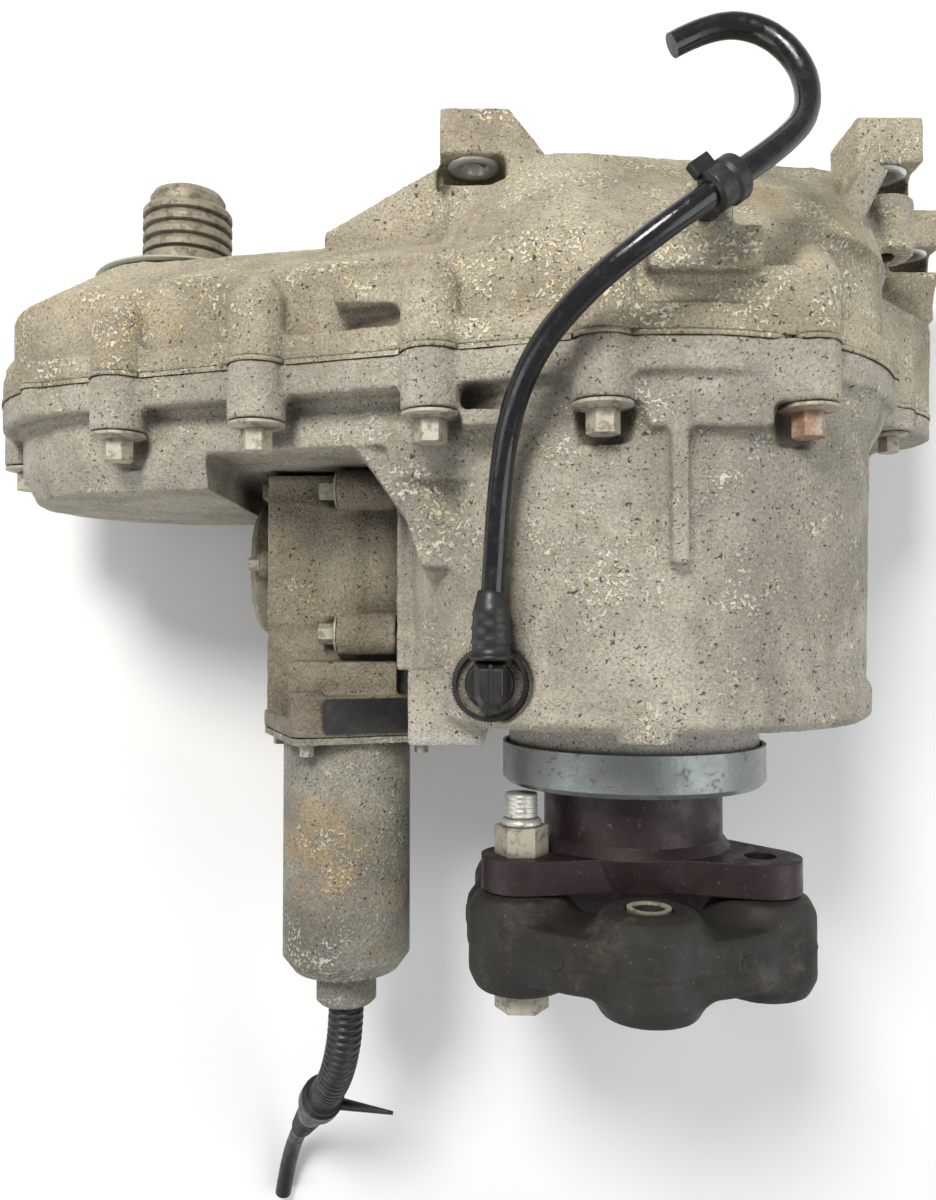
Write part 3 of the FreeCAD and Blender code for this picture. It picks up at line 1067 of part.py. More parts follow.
def breather_ring():
    return Part.makeTorus(ELBOW_BOSS_R - 1.4, 0.9, V(ELBOW_X, ELBOW_Y, ELBOW_SEAT_Z + 0.9), Z_AXIS)


def hose_clip():
    base = post(10.0, CLIP_X, CLIP_Y, CLIP_SEAT_Z, CLIP_SEAT_Z + 3)
    hold = V(*HOSE_ROUTE[7]) * 0.76 + (V(*HOSE_ROUTE[6]) + V(*HOSE_ROUTE[8])) * 0.12
    along = (V(*HOSE_ROUTE[8]) - V(*HOSE_ROUTE[6])).normalize()
    stem = block(CLIP_X - 4, CLIP_X + 4, CLIP_Y - 5, CLIP_Y + 5, CLIP_SEAT_Z + 3, hold.z - HOSE_R - 1.5)
    outer = Part.makeCylinder(HOSE_R + 3.4, 11, hold - along * 5.5, along)
    inner = Part.makeCylinder(HOSE_R + 1.0, 15, hold - along * 7.5, along)
    mouth = Part.makeBox(30, 5, 12, V(-15, -2.5, 3))
    mouth.rotate(V(0, 0, 0), Z_AXIS, math.degrees(math.atan2(along.y, along.x)))
    mouth.translate(hold)
    return fused([base, stem, outer]).cut([inner, mouth])


def needle_bearing(y_low, y_high):
    return ring(BALL_CIRCLE_R + 8, RAMP_BORE_R, y_low, y_high)


def all_parts():
    return {
        "front_case": front_case(),
        "rear_case": rear_case(),
        "case_bolts": case_bolts(),
        "lobe_bolts": lobe_bolts(),
        "dowels": dowels(),
        "oil_plugs": [set_at(plug(), 0, y, FLOOR_Z) for y in PLUG_YS],
        "input_seal": lip_seal(SEAL_R, SHAFT_R, SEAL_END, -PILOT_DEPTH),
        "front_bearing": bearing(BEARING_R, SHAFT_R, BEARING_BACK, BEARING_FRONT),
        "rear_bearing": bearing(BEARING_R, SHAFT_R, REAR_BEARING_BACK, REAR_BEARING_FRONT),
        "rear_seal": lip_seal(REAR_SEAL_R, HUB_NOSE_R, NECK_END, NECK_END + SEAL_WIDTH),
        "output_front_bearing": bearing(ARM_BEARING_R, OUTPUT_SHAFT_R, ARM_BEARING_BACK, ARM_BEARING_FRONT,
                                        ARM_X, ARM_Z),
        "output_rear_bearing": bearing(SMALL_BEARING_R, SMALL_JOURNAL_R, ARM_REAR + REAR_WALL,
                                       SMALL_BEARING_FRONT, ARM_X, ARM_Z),
        "output_seal": lip_seal(STUB_SEAL_R, STUB_R, ARM_BEARING_FRONT, -ARM_FACE_DEPTH - 1, ARM_X, ARM_Z),
        "oil_pump_housing": oil_pump_housing(),
        "oil_pump_cover": oil_pump_cover(),
        "pump_inner_rotor": pump_inner_rotor(),
        "pump_outer_rotor": pump_outer_rotor(),
        "main_shaft": main_shaft(),
        "clutch_hub": clutch_hub(),
        "friction_plates": plate_stack(False),
        "steel_plates": plate_stack(True),
        "clutch_basket": clutch_basket(),
        "return_spring": return_spring(),
        "pressure_plate": pressure_plate(),
        "front_thrust_bearing": needle_bearing(SLIDING_FRONT, SLIDING_FRONT + NEEDLE_THICK),
        "sliding_ramp_ring": sliding_ramp_ring(),
        "ramp_balls": ramp_balls(),
        "turning_ramp_ring": turning_ramp_ring(),
        "rear_thrust_bearing": needle_bearing(RAMP_BACK, TURNING_BACK),
        "sprocket_bush": ring(BUSH_R + 4 - FIT, BUSH_R + FIT, CHAIN_REAR, CHAIN_FRONT),
        "drive_sprocket": drive_sprocket(),
        "driven_sprocket": driven_sprocket(),
        "drive_chain": drive_chain(),
        "front_output_shaft": front_output_shaft(),
        "front_dust_shield": front_dust_shield(),
        "output_flange": output_flange(),
        "rear_dust_shield": rear_dust_shield(),
        "flange_nut": flange_nut(),
        "flex_disc": flex_disc(),
        "flex_sleeves": flex_sleeves(),
        "flex_bolt": flex_bolt(),
        "flex_nut": flex_nut(),
        "actuator_housing": actuator_housing(),
        "gear_cover": gear_cover(),
        "cover_screws": cover_screws(),
        "actuator_bolts": actuator_bolts(),
        "motor_can": motor_can(),
        "motor_end_cap": motor_end_cap(),
        "motor_screws": motor_screws(),
        "motor_armature": motor_armature(),
        "worm_shaft": worm_shaft(),
        "worm_wheel": worm_wheel(),
        "cam_shaft": cam_shaft(),
        "breather_elbow": breather_elbow(),
        "breather_ring": breather_ring(),
        "hose_clip": hose_clip(),
        "breather_hose": cord("breather_hose", HOSE_ROUTE, HOSE_R),
        "wiring_conduit": cord("wiring_conduit", CONDUIT_ROUTE, CONDUIT_R),
        "conduit_sleeve": conduit_sleeve(),
        "wiring_stub": cord("wiring_stub", STUB_ROUTE, STUB_CABLE_R),
    }


os.makedirs("parts", exist_ok=True)
for node, shape in all_parts().items():
    write(node, shape)
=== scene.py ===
import json
import math

import bmesh
import bpy
from mathutils import Matrix, Vector, noise


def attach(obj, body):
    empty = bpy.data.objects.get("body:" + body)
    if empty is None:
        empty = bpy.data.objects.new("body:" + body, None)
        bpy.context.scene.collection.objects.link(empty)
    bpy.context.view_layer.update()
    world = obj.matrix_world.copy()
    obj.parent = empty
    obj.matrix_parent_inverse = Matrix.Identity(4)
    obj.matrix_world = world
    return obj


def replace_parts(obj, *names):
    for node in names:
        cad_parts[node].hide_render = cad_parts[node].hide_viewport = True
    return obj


# A transfer case lying on its underside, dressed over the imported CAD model.
# Metres, in the model's own frame: +Y along the main shaft to the gearbox, +Z up, +X away from the chain arm.
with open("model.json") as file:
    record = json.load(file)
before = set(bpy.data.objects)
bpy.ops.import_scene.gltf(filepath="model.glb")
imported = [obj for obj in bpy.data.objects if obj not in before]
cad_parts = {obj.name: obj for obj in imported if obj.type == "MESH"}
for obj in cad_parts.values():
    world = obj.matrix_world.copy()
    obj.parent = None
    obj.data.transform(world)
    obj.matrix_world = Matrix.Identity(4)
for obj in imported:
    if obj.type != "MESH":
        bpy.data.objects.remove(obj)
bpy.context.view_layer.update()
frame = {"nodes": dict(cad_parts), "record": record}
nodes = frame["nodes"]
scene = bpy.context.scene

# Places taken from the CAD model
FLOOR_Z = -0.1165
PARTING = -0.080                # the joint between the two case halves
NECK = -0.2105                  # the rear case is bare metal behind this
ELBOW = Vector((-0.060, -0.192, 0.071))
CLIP, CLIP_SEAT_Z = Vector((0.0062, -0.0430, 0.125)), 0.1065
FLANGE_PCD_R, FLANGE_TURN = 0.0525, -63.0
LOBES = 6
DISC_FRONT, DISC_BACK = -0.2739, -0.3099
EARS = [(-65, 35), (92, 28), (138, -55), (76, -84), (-22, -88), (-86, -40)]     # x and z in millimetres


# The camera and the light
def add_camera():
    data = bpy.data.cameras.new("camera")
    data.sensor_width = 36.0
    data.lens = 29.79
    data.clip_start = 0.01
    camera = bpy.data.objects.new("camera", data)
    camera.location = (-0.0674, -0.173, 0.410)
    camera.rotation_euler = (math.radians(1.6), 0.0, 0.0)
    scene.collection.objects.link(camera)
    scene.camera = camera


def add_lamp(name, place, target, size, watts, colour):
    data = bpy.data.lights.new(name, "AREA")
    data.shape = "DISK"
    data.size = size
    data.energy = watts
    data.color = colour
    lamp = bpy.data.objects.new(name, data)
    lamp.location = place
    lamp.rotation_euler = (Vector(target) - Vector(place)).to_track_quat("-Z", "Y").to_euler()
    scene.collection.objects.link(lamp)


add_camera()
add_lamp("key", (-0.35, 0.45, 0.95), (-0.06, -0.12, 0.0), 0.36, 12.5, (1.0, 0.98, 0.95))
add_lamp("fill", (0.75, -0.35, 0.65), (-0.04, -0.15, 0.0), 0.9, 5.0, (0.96, 0.98, 1.0))
add_lamp("back", (-0.85, -0.65, 0.45), (-0.08, -0.2, 0.0), 0.7, 3.0, (1.0, 1.0, 1.0))


# Node trees: small helpers that return sockets
class Shader:
    """A material with its node tree, read in the object's own metres."""
    def __init__(self, name):
        self.material = bpy.data.materials.new(name)
        self.material.use_nodes = True
        self.tree = self.material.node_tree
        self.out = self.tree.nodes["Principled BSDF"]
        self.where = self.add("ShaderNodeTexCoord").outputs["Object"]

    def add(self, kind, **settings):
        node = self.tree.nodes.new(kind)
        for key, value in settings.items():
            setattr(node, key, value)
        return node

    def feed(self, socket, value):
        if isinstance(value, bpy.types.NodeSocket):
            self.tree.links.new(value, socket)
        elif hasattr(socket.default_value, "__len__") and len(value) == 3 and len(socket.default_value) == 4:
            socket.default_value = (*value, 1.0)
        else:
            socket.default_value = value

    def noise(self, scale, detail=4.0, rough=0.6, distortion=0.0):
        node = self.add("ShaderNodeTexNoise")
        self.feed(node.inputs["Vector"], self.where)
        self.feed(node.inputs["Scale"], scale)
        self.feed(node.inputs["Detail"], detail)
        self.feed(node.inputs["Roughness"], rough)
        self.feed(node.inputs["Distortion"], distortion)
        return node.outputs["Fac"]

    def ramp(self, value, low, high, to_low=0.0, to_high=1.0):
        node = self.add("ShaderNodeMapRange", interpolation_type="SMOOTHSTEP")
        for key, number in zip(("From Min", "From Max", "To Min", "To Max"), (low, high, to_low, to_high)):
            node.inputs[key].default_value = number
        self.feed(node.inputs["Value"], value)
        return node.outputs[0]

    def math(self, kind, a, b):
        node = self.add("ShaderNodeMath", operation=kind)
        self.feed(node.inputs[0], a)
        self.feed(node.inputs[1], b)
        return node.outputs[0]

    def mix(self, factor, a, b):
        node = self.add("ShaderNodeMix", data_type="RGBA")
        self.feed(node.inputs[0], factor)
        self.feed(node.inputs[6], a)
        self.feed(node.inputs[7], b)
        return node.outputs[2]

    def near(self, centre, inner, outer):
        """1 within inner metres of a point, falling to 0 at outer."""
        node = self.add("ShaderNodeVectorMath", operation="DISTANCE")
        self.feed(node.inputs[0], self.where)
        node.inputs[1].default_value = centre
        return self.ramp(node.outputs["Value"], inner, outer, 1.0, 0.0)

    def along(self, axis):
        node = self.add("ShaderNodeSeparateXYZ")
        self.feed(node.inputs[0], self.where)
        return node.outputs[axis]

    def shade_in_hollows(self, distance):
        """1 in hollows and corners, 0 on open faces: the mask for painted shade."""
        node = self.add("ShaderNodeAmbientOcclusion", samples=8)
        node.inputs["Distance"].default_value = distance
        return self.ramp(node.outputs["AO"], 0.35, 0.9, 1.0, 0.0)

    def bump(self, height, strength, distance, normal=None):
        node = self.add("ShaderNodeBump")
        node.inputs["Strength"].default_value = strength
        node.inputs["Distance"].default_value = distance
        self.feed(node.inputs["Height"], height)
        if normal:
            self.feed(node.inputs["Normal"], normal)
        return node.outputs[0]

    def rounded(self, radius):
        node = self.add("ShaderNodeBevel", samples=4)
        node.inputs["Radius"].default_value = radius
        return node.outputs[0]

    def finish(self, colour, rough, metal=0.0, normal=None, specular=0.5):
        self.feed(self.out.inputs["Base Color"], colour)
        self.feed(self.out.inputs["Roughness"], rough)
        self.out.inputs["Metallic"].default_value = metal
        self.out.inputs["Specular IOR Level"].default_value = specular
        if normal:
            self.feed(self.out.inputs["Normal"], normal)
        return self.material


PIT_DARK = (0.045, 0.036, 0.028)
# The colour of the painted shade in hollows and corners
HOLLOW_SHADE = (0.07, 0.055, 0.04)
BARE_METAL = (0.47, 0.46, 0.43)


def cast_metal(name, dark, light, crust, stain, crust_level, pit_level, stains=(), bare_below=None):
    """A weathered aluminium casting: grainy skin, pale crust, dark pits, stains, and painted shade in hollows
    and corners.
    """
    s = Shader(name)
    colour = s.mix(s.ramp(s.noise(22.0, 7.0, 0.66, 0.4), 0.36, 0.64), dark, light)
    stained = s.ramp(s.noise(11.0, 6.0, 0.7, 0.8), 0.50, 0.68, 0.0, 0.55)
    colour = s.mix(stained, colour, stain)
    blotched = s.ramp(s.noise(9.0, 6.0, 0.66, 0.6), 0.50, 0.64, 0.0, 0.62)
    colour = s.mix(blotched, colour, [c * 0.66 for c in dark])
    if bare_below is not None:
        bare = s.ramp(s.along("Y"), bare_below - 0.001, bare_below, 0.75, 0.0)
        colour = s.mix(bare, colour, BARE_METAL)
    for centre, inner, outer, tint, amount in stains:
        broken = s.ramp(s.noise(60.0, 6.0, 0.7), 0.38, 0.62, 0.0, amount)
        colour = s.mix(s.math("MULTIPLY", s.near(centre, inner, outer), broken), colour, tint)
    grain = s.ramp(s.noise(1000.0, 3.0, 0.65), 0.40, 0.60)
    colour = s.mix(s.math("MULTIPLY", grain, 0.40), colour, [c * 0.46 for c in dark])
    patches = s.math("MAXIMUM", s.ramp(s.noise(40.0, 8.0, 0.74), crust_level, crust_level + 0.14), 0.16)
    crusted = s.math("MULTIPLY", patches, s.ramp(s.noise(760.0, 2.0, 0.5), 0.50, 0.58))
    tint = s.mix(s.ramp(s.noise(170.0, 3.0), 0.42, 0.60), crust, [crust[0], crust[1] * 0.93, crust[2] * 0.70])
    colour = s.mix(s.math("MULTIPLY", crusted, 0.74), colour, tint)
    pits = s.math("MAXIMUM", s.ramp(s.noise(430.0, 2.0, 0.5), pit_level, pit_level + 0.03),
                  s.ramp(s.noise(900.0, 1.0, 0.5), pit_level, pit_level + 0.03))
    colour = s.mix(s.math("MULTIPLY", pits, 0.85), colour, PIT_DARK)
    # Painted shade: hollows and corners darkened through an ambient-occlusion mask
    colour = s.mix(s.math("MULTIPLY", s.shade_in_hollows(0.012), 0.75), colour, HOLLOW_SHADE)
    height = s.math("ADD", s.math("MULTIPLY", crusted, 0.9), s.math("MULTIPLY", pits, -1.0))
    height = s.math("ADD", height, s.math("MULTIPLY", s.noise(1000.0, 3.0, 0.7), 0.7))
    height = s.math("ADD", height, s.math("MULTIPLY", s.noise(150.0, 5.0, 0.6), 1.2))
    rough = s.ramp(s.noise(60.0, 4.0), 0.3, 0.7, 0.6, 0.85)
    return s.finish(colour, rough, 0.1, s.bump(height, 0.9, 0.0009), specular=0.35)


def plain_metal(name, dark, light, grime, metal=0.9, rough=(0.3, 0.55), grime_level=0.55, radius=0.0004,
                stains=()):
    """Plated or machined steel with softened edges, dull patches, grime, and painted shade in hollows."""
    s = Shader(name)
    colour = s.mix(s.noise(90.0, 5.0, 0.65), dark, light)
    dirty = s.ramp(s.noise(240.0, 6.0, 0.7), grime_level, grime_level + 0.1)
    colour = s.mix(dirty, colour, grime)
    for centre, inner, outer, tint, amount in stains:
        broken = s.ramp(s.noise(140.0, 5.0, 0.7), 0.34, 0.6, 0.0, amount)
        colour = s.mix(s.math("MULTIPLY", s.near(centre, inner, outer), broken), colour, tint)
    # Painted shade: hollows darkened through an ambient-occlusion mask
    colour = s.mix(s.math("MULTIPLY", s.shade_in_hollows(0.004), 0.7), colour, (0.06, 0.05, 0.04))
    height = s.math("ADD", s.noise(700.0, 3.0), s.math("MULTIPLY", dirty, 0.6))
    normal = s.bump(height, 0.35, 0.0003, s.rounded(radius))
    return s.finish(colour, s.ramp(s.noise(130.0, 4.0), 0.3, 0.7, *rough), metal, normal)


def rubber(name, colour_a, colour_b, dust, dust_level):
    """Black rubber with dusty patches and specks."""
    s = Shader(name)
    colour = s.mix(s.noise(45.0, 5.0), colour_a, colour_b)
    dusty = s.ramp(s.noise(26.0, 8.0, 0.75), dust_level, dust_level + 0.16)
    colour = s.mix(s.math("MULTIPLY", dusty, 0.5), colour, dust)
    specks = s.ramp(s.noise(700.0, 3.0, 0.6), 0.66, 0.72)
    colour = s.mix(s.math("MULTIPLY", specks, 0.55), colour, [c * 1.4 for c in dust])
    height = s.math("ADD", s.noise(500.0, 4.0, 0.7), s.math("MULTIPLY", s.noise(90.0, 3.0), 0.8))
    rough = s.ramp(s.noise(50.0, 4.0), 0.3, 0.7, 0.55, 0.85)
    return s.finish(colour, rough, 0.0, s.bump(height, 0.45, 0.0005), specular=0.4)


def moulded(name, colour, rough, dust=(0.16, 0.14, 0.12), dust_amount=0.3):
    """Black moulded plastic or nylon tube with scuffs and a little dust."""
    s = Shader(name)
    base = s.mix(s.noise(110.0, 4.0), colour, [c * 1.8 + 0.004 for c in colour])
    dusty = s.ramp(s.noise(170.0, 7.0, 0.75), 0.54, 0.72, 0.0, dust_amount)
    base = s.mix(dusty, base, dust)
    scuffed = s.ramp(s.noise(260.0, 5.0), 0.35, 0.7, rough, rough + 0.25)
    return s.finish(base, scuffed, 0.0, s.bump(s.noise(650.0, 4.0), 0.18, 0.0003))


# The finishes
OCHRE = (0.27, 0.19, 0.045)
SMOOTH_GREY = (0.36, 0.36, 0.37)
FRONT_CAST = cast_metal("front_cast", (0.300, 0.258, 0.185), (0.520, 0.462, 0.345), (0.78, 0.74, 0.61),
                        (0.50, 0.40, 0.215), 0.43, 0.690,
                        [((0.030, -0.010, 0.085), 0.014, 0.034, OCHRE, 0.95),
                         ((0.093, -0.028, 0.055), 0.014, 0.030, SMOOTH_GREY, 0.8),
                         ((0.0062, -0.043, 0.1065), 0.009, 0.012, (0.20, 0.19, 0.16), 0.9)])
REAR_CAST = cast_metal("rear_cast", (0.315, 0.282, 0.228), (0.500, 0.456, 0.372), (0.72, 0.69, 0.60),
                       (0.37, 0.335, 0.28), 0.47, 0.688, bare_below=NECK)
ACTUATOR_CAST = cast_metal("actuator_cast", (0.185, 0.155, 0.112), (0.330, 0.288, 0.215), (0.52, 0.48, 0.38),
                           (0.30, 0.24, 0.135), 0.49, 0.69)
MOTOR_SKIN = cast_metal("motor_skin", (0.20, 0.188, 0.16), (0.40, 0.38, 0.32), (0.60, 0.58, 0.51),
                        (0.33, 0.29, 0.20), 0.45, 0.685,
                        [((-0.128, -0.262, 0.012), 0.008, 0.030, (0.44, 0.29, 0.12), 0.8),
                         ((-0.100, -0.290, 0.006), 0.005, 0.020, (0.42, 0.30, 0.14), 0.6)])
RUST = (0.30, 0.15, 0.08)
ZINC = plain_metal("zinc", (0.30, 0.27, 0.21), (0.52, 0.48, 0.39), (0.24, 0.205, 0.15), 0.3,
                   (0.45, 0.68), 0.50, stains=[((0.044, -0.108, 0.087), 0.008, 0.014, RUST, 0.9)])
NUT_STEEL = plain_metal("nut_steel", (0.50, 0.49, 0.45), (0.70, 0.69, 0.64), (0.34, 0.31, 0.25), 0.6,
                        (0.3, 0.5))
SHIELD = plain_metal("shield", (0.19, 0.21, 0.20), (0.28, 0.305, 0.29), (0.17, 0.155, 0.12), 0.6,
                     (0.32, 0.5), 0.56)
FRONT_SHIELD = plain_metal("front_shield", (0.38, 0.40, 0.29), (0.52, 0.54, 0.42), (0.36, 0.32, 0.20), 0.45,
                           (0.3, 0.5), 0.60)
FLANGE_IRON = plain_metal("flange_iron", (0.018, 0.0105, 0.0105), (0.044, 0.026, 0.026),
                          (0.10, 0.075, 0.065), 0.45, (0.38, 0.6), 0.60, 0.0007)
STUB_STEEL = plain_metal("stub_steel", (0.21, 0.18, 0.13), (0.42, 0.37, 0.27), (0.17, 0.14, 0.10), 0.35,
                         (0.5, 0.75), 0.5)
MACHINED = plain_metal("machined", (0.66, 0.66, 0.63), (0.82, 0.82, 0.79), (0.45, 0.42, 0.36), 0.45,
                       (0.25, 0.4), 0.64)
# Painted shade: a near-black finish for the sheets that line the sleeves' bores
BORE_SHADE = plain_metal("bore_shade", (0.020, 0.018, 0.015), (0.045, 0.040, 0.033), (0.02, 0.015, 0.01), 0.2,
                        (0.6, 0.8))
INNER_STEEL = plain_metal("inner_steel", (0.50, 0.50, 0.50), (0.66, 0.66, 0.66), (0.35, 0.33, 0.30), 1.0,
                          (0.22, 0.36), 0.66)
BRONZE = plain_metal("bronze", (0.50, 0.34, 0.14), (0.62, 0.45, 0.22), (0.30, 0.20, 0.10), 0.95,
                     (0.28, 0.42), 0.64)
COUPLING_RUBBER = rubber("coupling_rubber", (0.013, 0.0115, 0.009), (0.026, 0.023, 0.017),
                         (0.11, 0.095, 0.070), 0.52)
SEAL_RUBBER = rubber("seal_rubber", (0.02, 0.02, 0.02), (0.04, 0.038, 0.036), (0.14, 0.12, 0.10), 0.56)
HOSE_BLACK = moulded("hose_black", (0.004, 0.004, 0.0045), 0.12, dust_amount=0.16)
PLASTIC_BLACK = moulded("plastic_black", (0.007, 0.0068, 0.0065), 0.36, dust_amount=0.25)
WINDING = plain_metal("winding", (0.35, 0.16, 0.08), (0.52, 0.26, 0.13), (0.2, 0.1, 0.05), 0.8,
                      (0.3, 0.5), 0.6)

# Each material slot's finish
FINISHES = {
    "zinc_steel": ZINC, "shield_steel": SHIELD, "flange_iron": FLANGE_IRON, "motor_steel": MOTOR_SKIN,
    "stub_steel": STUB_STEEL, "inner_steel": INNER_STEEL, "bearing_steel": INNER_STEEL,
    "sintered": INNER_STEEL, "bronze": BRONZE, "coupling_rubber": COUPLING_RUBBER,
    "seal_rubber": SEAL_RUBBER, "hose_nylon": HOSE_BLACK, "black_plastic": PLASTIC_BLACK,
    "winding": WINDING, "front_casting": FRONT_CAST, "rear_casting": REAR_CAST,
    "actuator_casting": ACTUATOR_CAST,
}
for part in frame["record"]["subparts"]:
    mesh = nodes[part["node"]].data
    mesh.materials.clear()
    mesh.materials.append(FINISHES[part["material_slot"]])


# Pieces
def new_piece(name, mesh, material, body):
    piece = bpy.data.objects.new(name, mesh)
    scene.collection.objects.link(piece)
    if material:
        mesh.materials.clear()
        mesh.materials.append(material)
    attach(piece, body)
    return piece


def shade_smooth(mesh):
    mesh.polygons.foreach_set("use_smooth", [True] * len(mesh.polygons))


def baked(piece):
    """The piece's mesh with its modifiers applied."""
    graph = bpy.context.evaluated_depsgraph_get()
    mesh = bpy.data.meshes.new_from_object(piece.evaluated_get(graph))
    piece.modifiers.clear()
    piece.data = mesh
    return mesh


def add_box(mesh, low, high):
    """A block between two corners in millimetres."""
    low, high = Vector(low) / 1000, Vector(high) / 1000
    size = Matrix.Diagonal(high - low).to_4x4()
    bmesh.ops.create_cube(mesh, size=1.0, matrix=Matrix.Translation((low + high) / 2) @ size)


def add_rod(mesh, radius, x, z, y_low, y_high):
    """A round boss along Y in millimetres."""
    turn = Matrix.Rotation(math.radians(-90), 4, "X")
    place = Matrix.Translation(Vector((x, (y_low + y_high) / 2, z)) / 1000)
    bmesh.ops.create_cone(mesh, cap_ends=True, segments=40, radius1=radius / 1000, radius2=radius / 1000,
                          depth=(y_high - y_low) / 1000, matrix=place @ turn)


def add_prism(mesh, outline, y_low, y_high):
    """A prism along Y over an outline of (x, z) in millimetres."""
    low = [mesh.verts.new((x / 1000, y_low / 1000, z / 1000)) for x, z in outline]
    high = [mesh.verts.new((x / 1000, y_high / 1000, z / 1000)) for x, z in outline]
    mesh.faces.new(low)
    mesh.faces.new(list(reversed(high)))
    for i in range(len(outline)):
        k = (i + 1) % len(outline)
        mesh.faces.new((low[k], low[i], high[i], high[k]))


# Low forms that the castings carry besides their CAD shape
def front_case_forms(mesh):
    """The raised pad along the joint."""
    add_box(mesh, (-12.8, -80, 70), (50, -57, 96.4))


def rear_case_forms(mesh):
    """The same pad on this side of the joint, and two low lands behind it."""
    add_box(mesh, (-12.8, -100.6, 70), (50, -80, 96.4))
    add_box(mesh, (-10, -109.0, 76), (31, -100, 95.6))
    add_box(mesh, (-70, -106.0, 60), (-38, -100, 82))


def actuator_forms(mesh):
    """The sloping lip under the label plate, and two screw bosses."""
    add_prism(mesh, [(-127, 0), (-90, 0), (-88, 9.3), (-127, 22.4)], -208.3, -200)
    add_rod(mesh, 6.6, -131, 17, -216, -198)
    add_rod(mesh, 6.2, -86.5, 2, -216, -209)


def weathered(node, material, body, voxel, rounds, lump=0.00022, nodule=0.0003, forms=None):
    """A casting's skin over its CAD node: rounded edges, soft corners, shallow lumps and crusty nodules."""
    piece = new_piece(node + "_skin", nodes[node].data.copy(), material, body)
    if forms:
        work = bmesh.new()
        work.from_mesh(piece.data)
        forms(work)
        work.to_mesh(piece.data)
        work.free()
    remesh = piece.modifiers.new("skin", "REMESH")
    remesh.mode = "VOXEL"
    remesh.voxel_size = voxel
    smooth = piece.modifiers.new("smooth", "SMOOTH")
    smooth.factor = 0.5
    smooth.iterations = rounds
    mesh = baked(piece)
    normals = [v.normal.copy() for v in mesh.vertices]
    for vertex, normal in zip(mesh.vertices, normals):
        height = noise.fractal(vertex.co * 140.0, 0.9, 2.1, 3) * lump
        crust = noise.noise(vertex.co * 420.0 + Vector((3.1, 7.7, 1.3)))
        height += max(0.0, crust - 0.25) * nodule
        vertex.co += normal * (height - lump)
    shade_smooth(mesh)
    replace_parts(piece, node)
    return piece


def smoothstep(low, high, value):
    t = min(1.0, max(0.0, (value - low) / (high - low)))
    return t * t * (3 - 2 * t)


def lobe_centres():
    """The sleeves' places round the coupling."""
    turns = [math.radians(FLANGE_TURN + 360 / LOBES * i) for i in range(LOBES)]
    return [Vector((math.sin(a), 0.0, math.cos(a))) * FLANGE_PCD_R for a in turns]


def shape_coupling(piece):
    """Hollows the coupling between its lobes and raises a collar round each sleeve and a mould seam."""
    middle = (DISC_FRONT + DISC_BACK) / 2
    centres = lobe_centres()
    for vertex in piece.data.vertices:
        place = vertex.co
        flat = Vector((place.x, 0.0, place.z))
        gap = min((flat - c).length for c in centres)
        waist = smoothstep(0.0165, 0.0245, gap)
        side = 1.0 if place.y > middle else -1.0
        offset = (place.y - middle) * (1.0 - 0.30 * waist)
        collar = smoothstep(0.0080, 0.0095, gap) * (1.0 - smoothstep(0.0135, 0.0160, gap))
        if abs(place.y - middle) > 0.012:
            offset += side * 0.0011 * collar
        seam = 1.0 - smoothstep(0.0004, 0.0011, abs(place.y - middle))
        vertex.co = flat * (1.0 + 0.0045 * seam) + Vector((0.0, middle + offset, 0.0))


def add_seam():
    """A line of sealant squeezed out along the joint between the two case halves."""
    half_width = 0.0008
    mesh = bmesh.new()
    mesh.from_mesh(nodes["front_case"].data)
    whole = mesh.verts[:] + mesh.edges[:] + mesh.faces[:]
    cut = bmesh.ops.bisect_plane(mesh, geom=whole, dist=1e-6, plane_co=(0.0, PARTING + half_width, 0.0),
                                 plane_no=(0.0, 1.0, 0.0))["geom_cut"]
    edges = [e for e in cut if isinstance(e, bmesh.types.BMEdge)]
    strip = bmesh.ops.extrude_edge_only(mesh, edges=edges)["geom"]
    moved = [v for v in strip if isinstance(v, bmesh.types.BMVert)]
    bmesh.ops.translate(mesh, verts=moved, vec=(0.0, -2 * half_width, 0.0))
    faces = {f for f in strip if isinstance(f, bmesh.types.BMFace)}
    bmesh.ops.delete(mesh, geom=[f for f in mesh.faces if f not in faces], context="FACES")
    data = bpy.data.meshes.new("seam")
    mesh.to_mesh(data)
    mesh.free()
    seam = new_piece("seam", data, FRONT_CAST, "case")
    thick = seam.modifiers.new("thick", "SOLIDIFY")
    thick.thickness = 0.0006
    thick.offset = 0.0
    baked(seam)
    seam.data.materials.clear()
    seam.data.materials.append(FRONT_CAST)


weathered("front_case", FRONT_CAST, "case", 0.0013, 3, forms=front_case_forms)
weathered("rear_case", REAR_CAST, "case", 0.0013, 3, forms=rear_case_forms)
weathered("actuator_housing", ACTUATOR_CAST, "case", 0.0010, 3, forms=actuator_forms)
weathered("gear_cover", ACTUATOR_CAST, "case", 0.0010, 3)
shape_coupling(weathered("flex_disc", COUPLING_RUBBER, "main_rotor", 0.0012, 5,
                         0.0001, 0.0))
add_seam()
nodes["front_dust_shield"].data.materials[0] = FRONT_SHIELD


# Cords: their radius in metres and their routes in millimetres
CORD_R = 0.004
HOSE_ROUTE = [(-60, -176, 79), (-58.5, -150, 79.5), (-57, -126, 83), (-54, -104, 92), (-46, -86, 106),
              (-31, -71, 118), (-12.5, -58, 125), (6.2, -45, 126), (26.6, -28.4, 117), (37.8, -14.8, 109),
              (37.8, 2.8, 104), (26.8, 16.4, 101), (10.5, 19.2, 99.5), (-2.5, 12.2, 99)]
CONDUIT_ROUTE = [(-118.5, -330.3, -12), (-119, -342, -13), (-121, -354.2, -17), (-124, -365.2, -23.2),
                 (-127.7, -374.3, -31.8), (-131.4, -381.8, -41.7)]
STUB_ROUTE = [(-149, -418, -86), (-153, -427, -96), (-157, -438, -104), (-160.5, -451, -109.5),
              (-163, -465, -112)]


